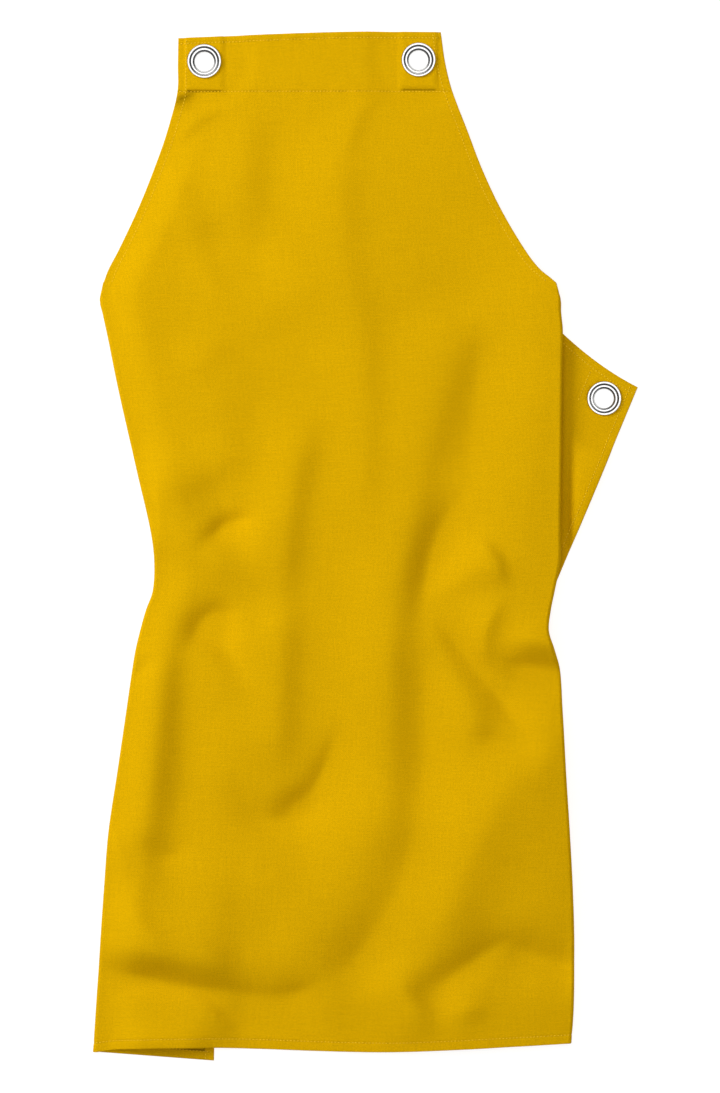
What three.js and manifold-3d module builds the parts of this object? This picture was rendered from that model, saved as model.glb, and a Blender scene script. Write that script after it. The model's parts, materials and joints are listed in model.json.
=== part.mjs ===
// A canvas bib apron laid out on a flat surface, with both its sides folded under it.
// Millimetres. +Y runs from the hem to the top of the bib, +X is to the right of the front, +Z is up.
// The origin lies on the surface, under the middle of the apron's own box.
// The cloth is one sheet: a hidden left panel, the left fold, the front, the right fold, a pleat that runs
// back under the front, and the flap that comes out again to the right. Eyelets sit at the four corners.
import * as THREE from "three";
import { mergeVertices } from "three/addons/utils/BufferGeometryUtils.js";
import Module from "manifold-3d";

const wasm = await Module();
wasm.setup();

// Cloth
const CLOTH = 1.0; // one layer of canvas
const HEM_WIDTH = 9; // depth of a turned and stitched hem
const HEM_STEP = 0.8; // run in which a hem reaches its thickness
const HEM_EXTRA = 0.7; // what a hem adds on the wrong side
const BAND_FOOT = 398.5; // lower edge of the band turned over at the top of the bib
const BAND_EXTRA = 1.0; // what the band adds on the wrong side
const SEAT_GAP = 0.3; // clearance between two pieces that touch

// Edges along the apron
const HEM = -440; // nominal height of the hem
const TOP = 450; // nominal height of the bib's top edge
const FOLD_TOP = 232; // where each armhole edge turns under

// Folds at the two sides and the pleat
const SIDE_FOLD_REACH = 2.6; // half width of a side fold's roll
const PLEAT_FOLD_REACH = 2.5; // half width of the pleat's roll
const FOLD_DROP = 10; // how far an armhole edge falls while it turns round a side fold
const DROP_FADE = 60; // run below the armhole over which that fall dies out

// Heights of the middle of each layer above the surface, or above the layer below it
const PANEL_LEVEL = 0.5;
const FLAP_LEVEL = 1.2;
const PLEAT_OVER_FLAP = 2.5;
const FRONT_OVER_FLOOR = 0.5;
const FRONT_OVER_PANEL = 2.9;
const FRONT_OVER_PLEAT = 3.1;
const FRONT_OVER_EYELET = 6.4;
const CORNER_LIFT_LOW = 10; // height up the apron where the hidden layers start to rise to their eyelets
const CORNER_LIFT_HIGH = 70;

// How the front is lofted between those supports
const LOFT = 9; // mean height of the loose cloth
const BAND_LOFT = 3.4; // height at the band
const BAND_LOFT_RUN = 90; // run below the band in which the cloth comes down to that
const LEFT_LOFT_LOSS = 6; // how much lower the cloth lies along its left edge
const RIGHT_LOFT_LOSS = 1;
const SIDE_LOFT_RUN = 36;
const PANEL_LOFT = 2.5; // rise over the left panel
const PLEAT_LOFT = 8; // rise over the pleat
const HEM_LOFT_LOSS = 5.5; // how much lower the cloth lies along the hem
const HEM_LOFT_RUN = 60;
const SETTLE = 1.2; // softness of the contact with what lies below
const PANEL_HOLD_REACH = 28; // how far past the panel's edge the front is still held up by it
const PANEL_HOLD_RUN = 22; // run in which that hold begins
const PLEAT_HOLD_REACH = 30;
const PLEAT_HOLD_RUN = 24;
const FOLD_TOP_FADE = 40; // run above the side folds in which those holds die out
const PANEL_LOFT_START = -85; // left of this the front rises over the panel
const PANEL_LOFT_RUN = 50;
const PLEAT_LOFT_REACH = 70; // how far left of the pleat line the front starts to rise
const PLEAT_LOFT_RUN = 90;
const PLEAT_LOFT_TOP = 330; // height up the bib where that rise has died out
const PLEAT_LOFT_FADE = 120;

// Left panel's hidden corner and its hem corner, pleat line and flap edge
const PANEL_CORNER = new THREE.Vector2(-118, 178);
const PANEL_HEM_CORNER = new THREE.Vector2(-133.3, -452.3);
const PANEL_BOW = -7;
const PLEAT_TOP = new THREE.Vector2(155, 205);
const PLEAT_FOOT = new THREE.Vector2(46, -436);
const FLAP_CORNER = new THREE.Vector2(239.4, 140);
const FLAP_FOOT_Y = -434;
const FLAP_SLOPE = 0.417; // run of the flap's side edge for each millimetre that it falls
const FLAP_BEND_Y = -34; // below this the edge bends towards the pleat
const FLAP_BEND = 0.000407;
const FLAP_BOW = -5.5;
const ARMHOLE_BOW_START = 0.7; // share of the folded length above which rows bend with the armhole hem
const PANEL_ARMHOLE_WAY = new THREE.Vector2(-0.92, 0.39); // along the armhole hem, away from the corner
const FLAP_ARMHOLE_WAY = new THREE.Vector2(-0.86, 0.51);

// Eyelets, their washers and the patches behind them
const BIB_LEFT_EYELET = new THREE.Vector2(-141.7, 426.4);
const BIB_RIGHT_EYELET = new THREE.Vector2(46.6, 427.7);
const EYELET_RADIUS = 15;
const EYELET_HOLE = 8.3;
const BARREL_RADIUS = 8.9;
const CLOTH_HOLE = 9.2;
const WASHER_RADIUS = 14;
const WASHER_THICK = 1.0;
const PATCH_THICK = 1.0;
const PATCH_WIDTH = 31;
const PATCH_TOWARDS_EDGE = 20.7;
const PATCH_FROM_EDGE = 26;
const FLANGE_THICK = 1.2;
const RIM_HEIGHT = 0.7; // outer rim of the flange, below its slope
const RIM_TAPER = 0.5;
const CROWN_INSET = 2.2; // flat crown from the flange's outer edge
const GROOVE_OUTER = 2.0; // groove between crown and lip, measured out from the barrel
const GROOVE_MIDDLE = 1.4;
const GROOVE_INNER = 0.6;
const GROOVE_DEPTH = 0.7;
const LIP_FALL = 0.4; // how far the lip rolls down into the hole
const WASHER_BEVEL_RUN = 0.6;
const WASHER_BEVEL = 0.4;
const EYELET_INSET = 23.6; // eyelet's middle from each of the two edges at its corner
const PAD_RADIUS = 34; // flat cloth round an eyelet
const PAD_FADE = 50; // where the cloth is loose again
const ROUND_SIDES = 20;

// Mesh density
const FRONT_COLUMNS = 20;
const ROLL_STEPS = 3;
const PANEL_COLUMNS = 3;
const PLEAT_COLUMNS = 3;
const FLAP_COLUMNS = 4;

// Outline of the front: height, left edge, right edge
const OUTLINE = [
  [-440, -239.8, 180.8],
  [-408, -237.3, 182.6],
  [-356, -233.6, 183.3],
  [-303, -230, 181.8],
  [-250, -225.7, 179],
  [-197, -217.8, 175.6],
  [-144, -210, 172.9],
  [-109, -205, 171],
  [-91, -202, 165.9],
  [-74, -198, 160.6],
  [-56, -193, 162.4],
  [-39, -187, 165.9],
  [-12, -185.7, 171],
  [14, -188.8, 171.2],
  [67, -201, 172],
  [137, -217, 172.6],
  [190, -227.6, 173],
  [208, -231, 171.5],
  [222, -233.6, 170.9],
  [232, -229.8, 165.5],
  [243, -225.7, 152.7],
  [260, -217, 140],
  [296, -200, 119],
  [331, -186, 102.5],
  [366, -173.8, 89.3],
  [400, -165.4, 76.5],
  [425, -165, 70],
  [450, -164.6, 66.3],
];

// Edge lines across the apron: place, height
const TOP_EDGE = [
  [-165, 447],
  [-22, 452.3],
  [66, 452.3],
];
const HEM_EDGE = [
  [-240, -445],
  [-207, -440.5],
  [-163, -439],
  [-93, -441.8],
  [-5, -444],
  [83, -441],
  [181, -435.6],
];
const EDGE_BOW_RUN = 52; // how far from an edge its bow dies out

// Rows of the mesh: lower end, upper end, number of steps
const ROW_BANDS = [
  [HEM + HEM_WIDTH, -350, 5],
  [-350, -130, 10],
  [-130, 60, 13],
  [60, FOLD_TOP - HEM_WIDTH, 7],
  [FOLD_TOP, BAND_FOOT, 7],
];

// Folds of the front, each a ridge (or a trough, where its height is below zero) along a curve.
// Sharpness is 2 for a soft fold and falls towards 1 for a crease.
// name, start x, y, middle x, y, end x, y, left-hand width, right-hand width, height, sharpness
const FOLDS = [
  ["left_roll_bib", -197, 130, -198, 240, -176, 350, 22, 26, 3, 2],
  ["left_roll_waist", -184, -60, -182, 60, -197, 185, 22, 19, 6, 2],
  ["left_roll_skirt", -206, -350, -188, -180, -180, -30, 30, 20, 7, 2],
  ["left_waist_fall", -120, 12, -122, 52, -128, 98, 30, 40, -9, 1.2],
  ["left_waist_dent", -142, 2, -121, 20, -95, 25, 8, 18, -10, 1.25],
  ["left_waist_lobe", -144, 2, -122, -14, -94, -40, 24, 14, 3, 1.6],
  ["left_low_dent", -160, -86, -141, -60, -114, -53, 16, 30, -13, 1.3],
  ["left_low_lobe", -136, -150, -136, -100, -128, -60, 20, 34, 2.5, 2],
  ["left_trough", -164, -270, -158, -170, -154, -70, 20, 30, -3.5, 2],
  ["left_trough_end", -196, -250, -178, -272, -154, -258, 11, 30, -5, 1.4],
  ["bib_ridge", -104, 262, -108, 320, -104, 396, 24, 19, 2.2, 2],
  ["bib_trough", -84, 270, -76, 340, -58, 396, 20, 34, -1.8, 2],
  ["bib_dent", -152, 286, -120, 258, -66, 258, 24, 30, -3, 2],
  ["bib_diagonal", -116, 196, -82, 212, -30, 240, 30, 24, 2, 2],
  ["long_ridge_bib", -9, 180, -24, 280, -18, 372, 34, 18, 3, 2],
  ["long_ridge_waist", -12, -20, -2, 110, -14, 240, 32, 16, 3.4, 2],
  ["chest_trough", -6, 196, 44, 204, 114, 222, 26, 26, -2, 2],
  ["armhole_rise", 80, 130, 96, 250, 82, 352, 44, 60, -2.8, 2],
  ["main_ridge_chest", 30, 20, 58, 110, 100, 236, 40, 22, 4.4, 2],
  ["main_ridge_waist", 17, -130, 25, -40, 52, 74, 36, 20, 6.5, 2],
  ["main_ridge_skirt", 14, -290, 18, -175, 19, -60, 36, 22, 7.2, 2],
  ["main_ridge_tail", -90, -376, -16, -316, 20, -200, 46, 34, 7, 2],
  ["main_valley_tail", -46, -390, 14, -327, 46, -226, 24, 60, -5, 1.3],
  ["chest_valley", 92, 34, 94, 110, 105, 206, 24, 50, -4.4, 1.4],
  ["waist_valley", 48, -84, 61, 8, 104, 53, 14, 40, -5, 1.3],
  ["skirt_valley", 48, -260, 53, -160, 52, -60, 18, 50, -4, 1.6],
  ["waist_comma", 121, -36, 109, -7, 91, 8, 30, 9, 8.5, 1.25],
  ["waist_curl", 113, -106, 104, -80, 122, -42, 34, 10, 6.5, 1.3],
  ["right_pinch", 121, -98, 150, -109, 200, -111, 11, 36, -15, 1.25],
  ["right_pinch_brow", 124, -84, 150, -82, 186, -90, 22, 11, 6, 1.6],
  ["skirt_wedge", 147, -184, 100, -119, 50, -50, 17, 34, -10, 1.2],
  ["skirt_wedge_back", 102, -176, 78, -120, 48, -44, 30, 20, 5.5, 1.4],
  ["skirt_wedge_foot", 88, -160, 114, -170, 150, -174, 12, 30, -7, 1.25],
  ["skirt_fan", 40, -390, 96, -290, 148, -156, 44, 30, 8, 2],
  ["skirt_fan_foot", 50, -404, 86, -369, 142, -335, 20, 40, -7.5, 1.25],
  ["right_foot", 122, -345, 155, -361, 196, -366, 18, 30, -11, 1.3],
  ["right_droop", 150, -390, 160, -260, 160, -110, 24, 30, 5, 2],
  ["hem_dent", 60, -440, 44, -404, 30, -366, 64, 14, 8, 1.35],
  ["left_hem_trough", -240, -376, -160, -385, -70, -397, 16, 40, -15, 1.25],
  ["left_hem_brow", -236, -346, -170, -352, -100, -368, 36, 20, 6, 2],
  ["middle_hem_trough", -130, -405, -90, -405, -38, -378, 15, 34, -8, 1.3],
  ["swag", -122, -194, -70, -239, -18, -144, 9, 40, -6, 1.3],
  ["swag_foot", -100, -214, -72, -240, -46, -222, 12, 30, -5, 1.25],
  ["panel_ridge_low", -80, -210, -77, -120, -73, -30, 30, 17, 6, 2],
  ["panel_ridge_high", -76, -70, -71, 20, -48, 130, 30, 17, 6, 2],
  ["skirt_soft", -165, -318, -115, -282, -55, -262, 34, 40, 3.5, 2],
  ["skirt_soft_foot", -150, -352, -105, -340, -60, -336, 30, 26, -2.5, 2],
  ["hem_arch", -222, -430, -178, -436, -130, -440, 18, 18, 9, 2],
];
const LEAST_WIDTH = 12; // a fold's side is never narrower than the mesh can follow
const BRUSH_STEP = 6; // spacing of the brush marks that make up a fold
const BRUSH_LENGTH = 11; // length of one mark
const BRUSH_TAPER = 0.3; // share of a fold over which each end dies out
const FEWEST_MARKS = 4;
const WELD = 1e-4; // distance at which two vertices are one

const CANVAS = new THREE.MeshStandardMaterial({ color: 0xd8a603, roughness: 0.9, metalness: 0 });
const NICKEL = new THREE.MeshStandardMaterial({ color: 0xd5d7da, roughness: 0.2, metalness: 1 });

const mix = (a, b, t) => a + (b - a) * t;

function ease(t) {
  const s = THREE.MathUtils.clamp(t, 0, 1);
  return s * s * (3 - 2 * s);
}

// A smooth curve through the rows of a table, read at one value of its first column.
function readTable(table, column, at) {
  const last = table.length - 1;
  let i = 0;
  while (i < last - 1 && at > table[i + 1][0]) i += 1;
  const slope = (k) => {
    const a = table[Math.max(k - 1, 0)];
    const b = table[Math.min(k + 1, last)];
    return (b[column] - a[column]) / (b[0] - a[0]);
  };
  const [from, to] = [table[i], table[i + 1]];
  const run = to[0] - from[0];
  const t = THREE.MathUtils.clamp((at - from[0]) / run, 0, 1);
  const smooth = ease(t);
  const out = t * (1 - t) * (1 - t) * run * slope(i);
  const back = t * t * (1 - t) * run * slope(i + 1);
  return mix(from[column], to[column], smooth) + out - back;
}

const leftEdge = (y) => readTable(OUTLINE, 1, y);
const rightEdge = (y) => readTable(OUTLINE, 2, y);

// The brush marks of one fold: where each one is, which way it points, and its share of the height.
function brushMarks([, x0, y0, xm, ym, x1, y1, leftWidth, rightWidth, height, sharpness]) {
  const left = Math.max(leftWidth, LEAST_WIDTH);
  const right = Math.max(rightWidth, LEAST_WIDTH);
  const control = new THREE.Vector2(2 * xm - (x0 + x1) / 2, 2 * ym - (y0 + y1) / 2);
  const start = new THREE.Vector2(x0, y0);
  const end = new THREE.Vector2(x1, y1);
  const curve = new THREE.QuadraticBezierCurve(start, control, end);
  const length = curve.getLength();
  const count = Math.max(FEWEST_MARKS, Math.ceil(length / BRUSH_STEP));
  const share = length / count / (BRUSH_LENGTH * Math.sqrt(Math.PI));
  return Array.from({ length: count + 1 }, (_, i) => {
    const along = i / count;
    const fade = ease(along / BRUSH_TAPER) * ease((1 - along) / BRUSH_TAPER);
    const point = curve.getPointAt(along);
    const way = curve.getTangentAt(along);
    return { point, way, left, right, sharpness, height: height * share * fade };
  });
}

const MARKS = FOLDS.flatMap(brushMarks);

function foldHeight(x, y) {
  let sum = 0;
  for (const { point, way, left, right, sharpness, height } of MARKS) {
    const along = (x - point.x) * way.x + (y - point.y) * way.y;
    const across = (x - point.x) * way.y - (y - point.y) * way.x;
    const width = across > 0 ? right : left;
    sum += height * Math.exp(-((along / BRUSH_LENGTH) ** 2) - Math.abs(across / width) ** sharpness);
  }
  return sum;
}

// Plan of what lies under the front
const panelEdge = (y) => {
  const share = (y - PANEL_HEM_CORNER.y) / (PANEL_CORNER.y - PANEL_HEM_CORNER.y);
  return mix(PANEL_HEM_CORNER.x, PANEL_CORNER.x, share);
};
const pleatLine = (y) => {
  const share = (y - PLEAT_FOOT.y) / (PLEAT_TOP.y - PLEAT_FOOT.y);
  return mix(PLEAT_FOOT.x, PLEAT_TOP.x, share);
};
const flapEdge = (y) => {
  const bend = Math.max(FLAP_BEND_Y - y, 0);
  return FLAP_CORNER.x - FLAP_SLOPE * (FLAP_CORNER.y - y) + FLAP_BEND * bend * bend;
};

// Eyelets: name, place, direction to the edge that the patch reaches for, and whether it is face down
const flapEdgeWay = new THREE.Vector2(-FLAP_SLOPE, -1).normalize();
const panelEdgeWay = PANEL_HEM_CORNER.clone().sub(PANEL_CORNER).normalize();
const bibOut = new THREE.Vector2(0, 1);

// The point that lies one inset away from both edges at a corner.
function insetFrom(corner, edgeWay, armholeWay) {
  const sine = Math.abs(edgeWay.cross(armholeWay));
  const reach = EYELET_INSET / sine;
  return corner.clone().addScaledVector(edgeWay, reach).addScaledVector(armholeWay, reach);
}

const outOf = (edgeWay) => new THREE.Vector2(-edgeWay.y, edgeWay.x);
const EYELETS = [
  { name: "bib_left", at: BIB_LEFT_EYELET, out: bibOut, faceDown: false },
  { name: "bib_right", at: BIB_RIGHT_EYELET, out: bibOut, faceDown: false },
  {
    name: "side_right",
    at: insetFrom(FLAP_CORNER, flapEdgeWay, FLAP_ARMHOLE_WAY),
    out: outOf(flapEdgeWay),
    faceDown: false,
  },
  {
    name: "side_left",
    at: insetFrom(PANEL_CORNER, panelEdgeWay, PANEL_ARMHOLE_WAY),
    out: outOf(panelEdgeWay),
    faceDown: true,
  },
];
const [BIB_LEFT, BIB_RIGHT, SIDE_RIGHT, SIDE_LEFT] = EYELETS;

// Heights of the pieces stacked at an eyelet that lies face up, from the surface
const PATCH_FOOT = WASHER_THICK + SEAT_GAP;
const PAD_FOOT = PATCH_FOOT + PATCH_THICK + SEAT_GAP;
const FLANGE_FOOT = PAD_FOOT + CLOTH + SEAT_GAP;
const STACK_TOP = FLANGE_FOOT + FLANGE_THICK;
const PAD_LEVEL = PAD_FOOT + CLOTH / 2;
const PAD_LEVEL_FACE_DOWN = STACK_TOP - PAD_LEVEL;

const padShare = (eyelet, x, y) => {
  const away = Math.hypot(x - eyelet.at.x, y - eyelet.at.y);
  return 1 - ease((away - PAD_RADIUS) / (PAD_FADE - PAD_RADIUS));
};

const cornerLift = (y) => ease((y - CORNER_LIFT_LOW) / (CORNER_LIFT_HIGH - CORNER_LIFT_LOW));
const panelLevel = (y) => mix(PANEL_LEVEL, PAD_LEVEL_FACE_DOWN, cornerLift(y));
const flapLevel = (y) => mix(FLAP_LEVEL, PAD_LEVEL, cornerLift(y));
const pleatLevel = (y) => flapLevel(y) + PLEAT_OVER_FLAP;

// Height of the middle of the front's cloth: lofted over what lies below it, with its folds.
function frontLevel(x, y) {
  const belowFoldTop = ease((FOLD_TOP + FOLD_TOP_FADE - y) / FOLD_TOP_FADE);
  const overPanel = ease((panelEdge(y) + PANEL_HOLD_REACH - x) / PANEL_HOLD_RUN) * belowFoldTop;
  const overPleat = ease((x - pleatLine(y) + PLEAT_HOLD_REACH) / PLEAT_HOLD_RUN) * belowFoldTop;
  const hemExtra = HEM_EXTRA * ease((HEM + 2 * HEM_WIDTH - y) / HEM_WIDTH);
  let support = FRONT_OVER_FLOOR + hemExtra;
  support = mix(support, panelLevel(y) + FRONT_OVER_PANEL, overPanel);
  support = mix(support, pleatLevel(y) + FRONT_OVER_PLEAT, overPleat);
  support = Math.max(support, mix(0, FRONT_OVER_EYELET, padShare(SIDE_LEFT, x, y)));
  const panelRise = PANEL_LOFT * ease((PANEL_LOFT_START - x) / PANEL_LOFT_RUN) * belowFoldTop;
  const towardsPleat = ease((x - pleatLine(y) + PLEAT_LOFT_REACH) / PLEAT_LOFT_RUN);
  const pleatRise = PLEAT_LOFT * towardsPleat * ease((PLEAT_LOFT_TOP - y) / PLEAT_LOFT_FADE);
  const hemLoss = HEM_LOFT_LOSS * ease((HEM + HEM_LOFT_RUN - y) / HEM_LOFT_RUN);
  const leftLoss = LEFT_LOFT_LOSS * (1 - ease((x - leftEdge(y)) / SIDE_LOFT_RUN));
  const rightLoss = RIGHT_LOFT_LOSS * (1 - ease((rightEdge(y) - x) / SIDE_LOFT_RUN));
  const toBand = ease((y - BAND_FOOT + BAND_LOFT_RUN) / BAND_LOFT_RUN);
  const loft = mix(LOFT - leftLoss - rightLoss, BAND_LOFT, toBand);
  const loose = loft + panelRise + pleatRise - hemLoss + foldHeight(x, y);
  const settled = support + SETTLE * Math.log1p(Math.exp((loose - support) / SETTLE));
  const leftPad = mix(settled, PAD_LEVEL, padShare(BIB_LEFT, x, y));
  return mix(leftPad, PAD_LEVEL, padShare(BIB_RIGHT, x, y));
}

// Where a row of the mesh runs at one place across the front: rows near an edge follow its bow.
function rowHeight(x, y) {
  const hemBow = readTable(HEM_EDGE, 1, x) - HEM;
  const topBow = readTable(TOP_EDGE, 1, x) - TOP;
  const nearHem = 1 - ease((y - HEM) / EDGE_BOW_RUN);
  const nearTop = 1 - ease((TOP - y) / EDGE_BOW_RUN);
  return y + hemBow * nearHem + topBow * nearTop;
}

const rows = [
  { y: HEM, hem: 1, band: 0 },
  { y: HEM + HEM_WIDTH - HEM_STEP, hem: 1, band: 0 },
];
for (const [low, high, steps] of ROW_BANDS)
  for (let i = 0; i <= steps; i += 1) rows.push({ y: mix(low, high, i / steps), hem: 0, band: 0 });
rows.push({ y: BAND_FOOT + HEM_STEP, hem: 0, band: 1 });
rows.push({ y: mix(BAND_FOOT, TOP, 0.5), hem: 0, band: 1 });
rows.push({ y: TOP, hem: 0, band: 1 });
const meshRows = rows.filter((row, i) => i === 0 || row.y - rows[i - 1].y > HEM_STEP / 2);

// Stops across a piece that ends in a hem: distance from its start, and whether the hem is there.
function hemmedStops(length, columns) {
  const plain = Math.max(length - HEM_WIDTH, length / 2);
  const stopAt = (i) => ({ at: (plain * (i + 1)) / columns, hem: 0 });
  const stops = Array.from({ length: columns }, (_, i) => stopAt(i));
  return [...stops, { at: plain + HEM_STEP, hem: 1 }, { at: length, hem: 1 }];
}

// The points of a roll between two layers, from the upper one to the lower one. Side is -1 to the left.
function rollPoints(upper, lower, reach, side) {
  return Array.from({ length: ROLL_STEPS - 1 }, (_, i) => {
    const turn = (Math.PI * (i + 1)) / ROLL_STEPS;
    const share = (i + 1) / ROLL_STEPS;
    const x = mix(upper.x, lower.x, share) + side * reach * Math.sin(turn);
    const z = (upper.z + lower.z) / 2 + ((upper.z - lower.z) / 2) * Math.cos(turn);
    return { x, y: mix(upper.y, lower.y, share), z, extra: upper.extra };
  });
}

// One straight run of a hidden layer between two plan points, with its hem at the far end.
function layerRun(from, to, columns, bow, level, rowExtra) {
  const length = from.distanceTo(to);
  return hemmedStops(length, columns).map(({ at, hem }) => {
    const share = at / length;
    const point = from.clone().lerp(to, share);
    point.y += bow * 4 * share * (1 - share);
    const extra = Math.max(hem * HEM_EXTRA, rowExtra);
    return { x: point.x, y: point.y, z: level(point.y), extra };
  });
}

// All the points of one row, from the left panel's edge to the flap's edge.
function rowPoints({ y, hem, band }) {
  const folded = y <= FOLD_TOP;
  const sideReach = y < FOLD_TOP ? SIDE_FOLD_REACH : 0;
  const inset = y < FOLD_TOP ? SIDE_FOLD_REACH + CLOTH / 2 : 0;
  const left = leftEdge(y) + inset;
  const right = rightEdge(y) - inset;
  const width = right - left;
  const across = [0, HEM_WIDTH - HEM_STEP];
  for (let i = 0; i <= FRONT_COLUMNS; i += 1)
    across.push(mix(HEM_WIDTH, width - HEM_WIDTH, i / FRONT_COLUMNS));
  across.push(width - HEM_WIDTH + HEM_STEP, width);
  const front = across.map((at, i) => {
    const x = left + at;
    const rowY = rowHeight(x, y);
    const armholeHem = y >= FOLD_TOP && (i < 2 || i > across.length - 3) ? HEM_EXTRA : 0;
    const nearPad = Math.max(padShare(BIB_LEFT, x, rowY), padShare(BIB_RIGHT, x, rowY));
    const extra = Math.max(hem * HEM_EXTRA, band * BAND_EXTRA, armholeHem) * (1 - nearPad);
    return { x, y: rowY, z: frontLevel(x, rowY), extra };
  });
  if (!folded) return { start: null, points: front };

  const down = (y - HEM) / (FOLD_TOP - HEM);
  const drop = FOLD_DROP * ease((y - FOLD_TOP + DROP_FADE) / DROP_FADE);
  const edgeBow = ease((down - ARMHOLE_BOW_START) / (1 - ARMHOLE_BOW_START));
  const armhole = y > FOLD_TOP - HEM_WIDTH / 2 ? HEM_EXTRA : 0;
  const rowExtra = Math.max(hem * HEM_EXTRA, armhole);

  const first = front[0];
  const panelStart = new THREE.Vector2(first.x, first.y - drop);
  const panelEndY = mix(PANEL_HEM_CORNER.y, PANEL_CORNER.y, down);
  const panelEnd = new THREE.Vector2(panelEdge(panelEndY), panelEndY);
  const panelTop = { x: first.x, y: panelStart.y, z: panelLevel(panelStart.y), extra: rowExtra };
  const panel = layerRun(panelStart, panelEnd, PANEL_COLUMNS, PANEL_BOW * edgeBow, panelLevel, rowExtra);
  const leftRoll = rollPoints(first, panelTop, sideReach, -1);

  const last = front[front.length - 1];
  const pleatY = mix(PLEAT_FOOT.y, PLEAT_TOP.y, down);
  const pleatX = pleatLine(pleatY) + PLEAT_FOLD_REACH + CLOTH / 2;
  const pleatTop = { x: last.x, y: last.y - drop, z: pleatLevel(last.y - drop), extra: rowExtra };
  const rightRoll = rollPoints(last, pleatTop, sideReach, 1);
  const pleat = Array.from({ length: PLEAT_COLUMNS + 1 }, (_, i) => {
    const x = mix(pleatTop.x, pleatX, i / PLEAT_COLUMNS);
    const pleatRow = mix(pleatTop.y, pleatY, i / PLEAT_COLUMNS);
    return { x, y: pleatRow, z: pleatLevel(pleatRow), extra: rowExtra };
  });
  const flapStart = new THREE.Vector2(pleatX, pleatY - PLEAT_FOLD_REACH);
  const flapEndY = mix(FLAP_FOOT_Y, FLAP_CORNER.y, down);
  const flapEnd = new THREE.Vector2(flapEdge(flapEndY), flapEndY);
  const flapTop = { x: pleatX, y: flapStart.y, z: flapLevel(flapStart.y), extra: rowExtra };
  const pleatRoll = rollPoints(pleat[PLEAT_COLUMNS], flapTop, PLEAT_FOLD_REACH, -1);
  const flap = layerRun(flapStart, flapEnd, FLAP_COLUMNS, FLAP_BOW * edgeBow, flapLevel, rowExtra);
  for (const point of flap) point.extra *= 1 - padShare(SIDE_RIGHT, point.x, point.y);
  for (const point of panel) point.extra *= 1 - padShare(SIDE_LEFT, point.x, point.y);

  const leftSide = [...panel.reverse(), panelTop, ...leftRoll.reverse()];
  const rightSide = [...rightRoll, ...pleat, ...pleatRoll, flapTop, ...flap];
  return { start: leftSide.length, points: [...leftSide, ...front, ...rightSide] };
}

// A closed wall from a sheet of quads: the right side stands half a cloth out, the wrong side as far in
// plus what hems add there.
function wallFromSheet(points, quads) {
  const normals = points.map(() => new THREE.Vector3());
  const at = points.map(({ x, y, z }) => new THREE.Vector3(x, y, z));
  for (const [a, b, c, d] of quads) {
    const normal = at[c].clone().sub(at[a]).cross(at[d].clone().sub(at[b]));
    for (const corner of [a, b, c, d]) normals[corner].add(normal);
  }
  const rightSide = at.map((p, i) => p.clone().addScaledVector(normals[i].normalize(), CLOTH / 2));
  const wrongSide = at.map((p, i) => p.clone().addScaledVector(normals[i], -CLOTH / 2 - points[i].extra));
  const count = points.length;
  const triangles = [];
  const edges = new Map();
  for (const [a, b, c, d] of quads) {
    triangles.push([a, b, c], [a, c, d]);
    triangles.push([a + count, c + count, b + count], [a + count, d + count, c + count]);
    for (const [from, to] of [[a, b], [b, c], [c, d], [d, a]]) {
      const back = `${to},${from}`;
      if (edges.has(back)) edges.delete(back);
      else edges.set(`${from},${to}`, [from, to]);
    }
  }
  for (const [from, to] of edges.values())
    triangles.push([from, from + count, to + count], [from, to + count, to]);
  const geometry = new THREE.BufferGeometry().setFromPoints([...rightSide, ...wrongSide]);
  geometry.setIndex(triangles.flat());
  return geometry;
}

function apronSheet() {
  const made = meshRows.map(rowPoints);
  const lead = made[0].start;
  const points = [];
  const grid = made.map((row) => {
    const skip = row.start === null ? lead : 0;
    const indices = row.points.map((point) => points.push(point) - 1);
    return { skip, indices };
  });
  const quads = [];
  for (let i = 0; i + 1 < grid.length; i += 1) {
    const [low, high] = [grid[i], grid[i + 1]];
    const from = Math.max(low.skip, high.skip);
    const to = Math.min(low.skip + low.indices.length, high.skip + high.indices.length);
    for (let j = from; j + 1 < to; j += 1) {
      const pick = (row, column) => row.indices[column - row.skip];
      quads.push([pick(low, j), pick(low, j + 1), pick(high, j + 1), pick(high, j)]);
    }
  }
  return wallFromSheet(points, quads);
}

function solidOf(geometry) {
  const bare = geometry.clone();
  bare.deleteAttribute("normal");
  bare.deleteAttribute("uv");
  const merged = mergeVertices(bare, WELD);
  const vertProperties = merged.getAttribute("position").array;
  return new wasm.Manifold(new wasm.Mesh({ numProp: 3, vertProperties, triVerts: merged.index.array }));
}

function geometryOf(solid) {
  const { vertProperties, triVerts } = solid.getMesh();
  const geometry = new THREE.BufferGeometry();
  geometry.setAttribute("position", new THREE.BufferAttribute(vertProperties, 3));
  geometry.setIndex(new THREE.BufferAttribute(triVerts, 1));
  return geometry;
}

function apronBody() {
  let body = solidOf(apronSheet());
  for (const { at } of EYELETS) {
    const punch = new THREE.CylinderGeometry(CLOTH_HOLE, CLOTH_HOLE, 2 * PAD_FOOT, ROUND_SIDES);
    punch.rotateX(Math.PI / 2).translate(at.x, at.y, PAD_FOOT);
    body = body.subtract(solidOf(punch));
  }
  return geometryOf(body);
}

// A turned ring, from a closed profile of radius and height.
function turned(profile) {
  const points = [...profile, profile[0]].map(([radius, height]) => new THREE.Vector2(radius, height));
  return new THREE.LatheGeometry(points, ROUND_SIDES).rotateX(Math.PI / 2);
}

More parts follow.
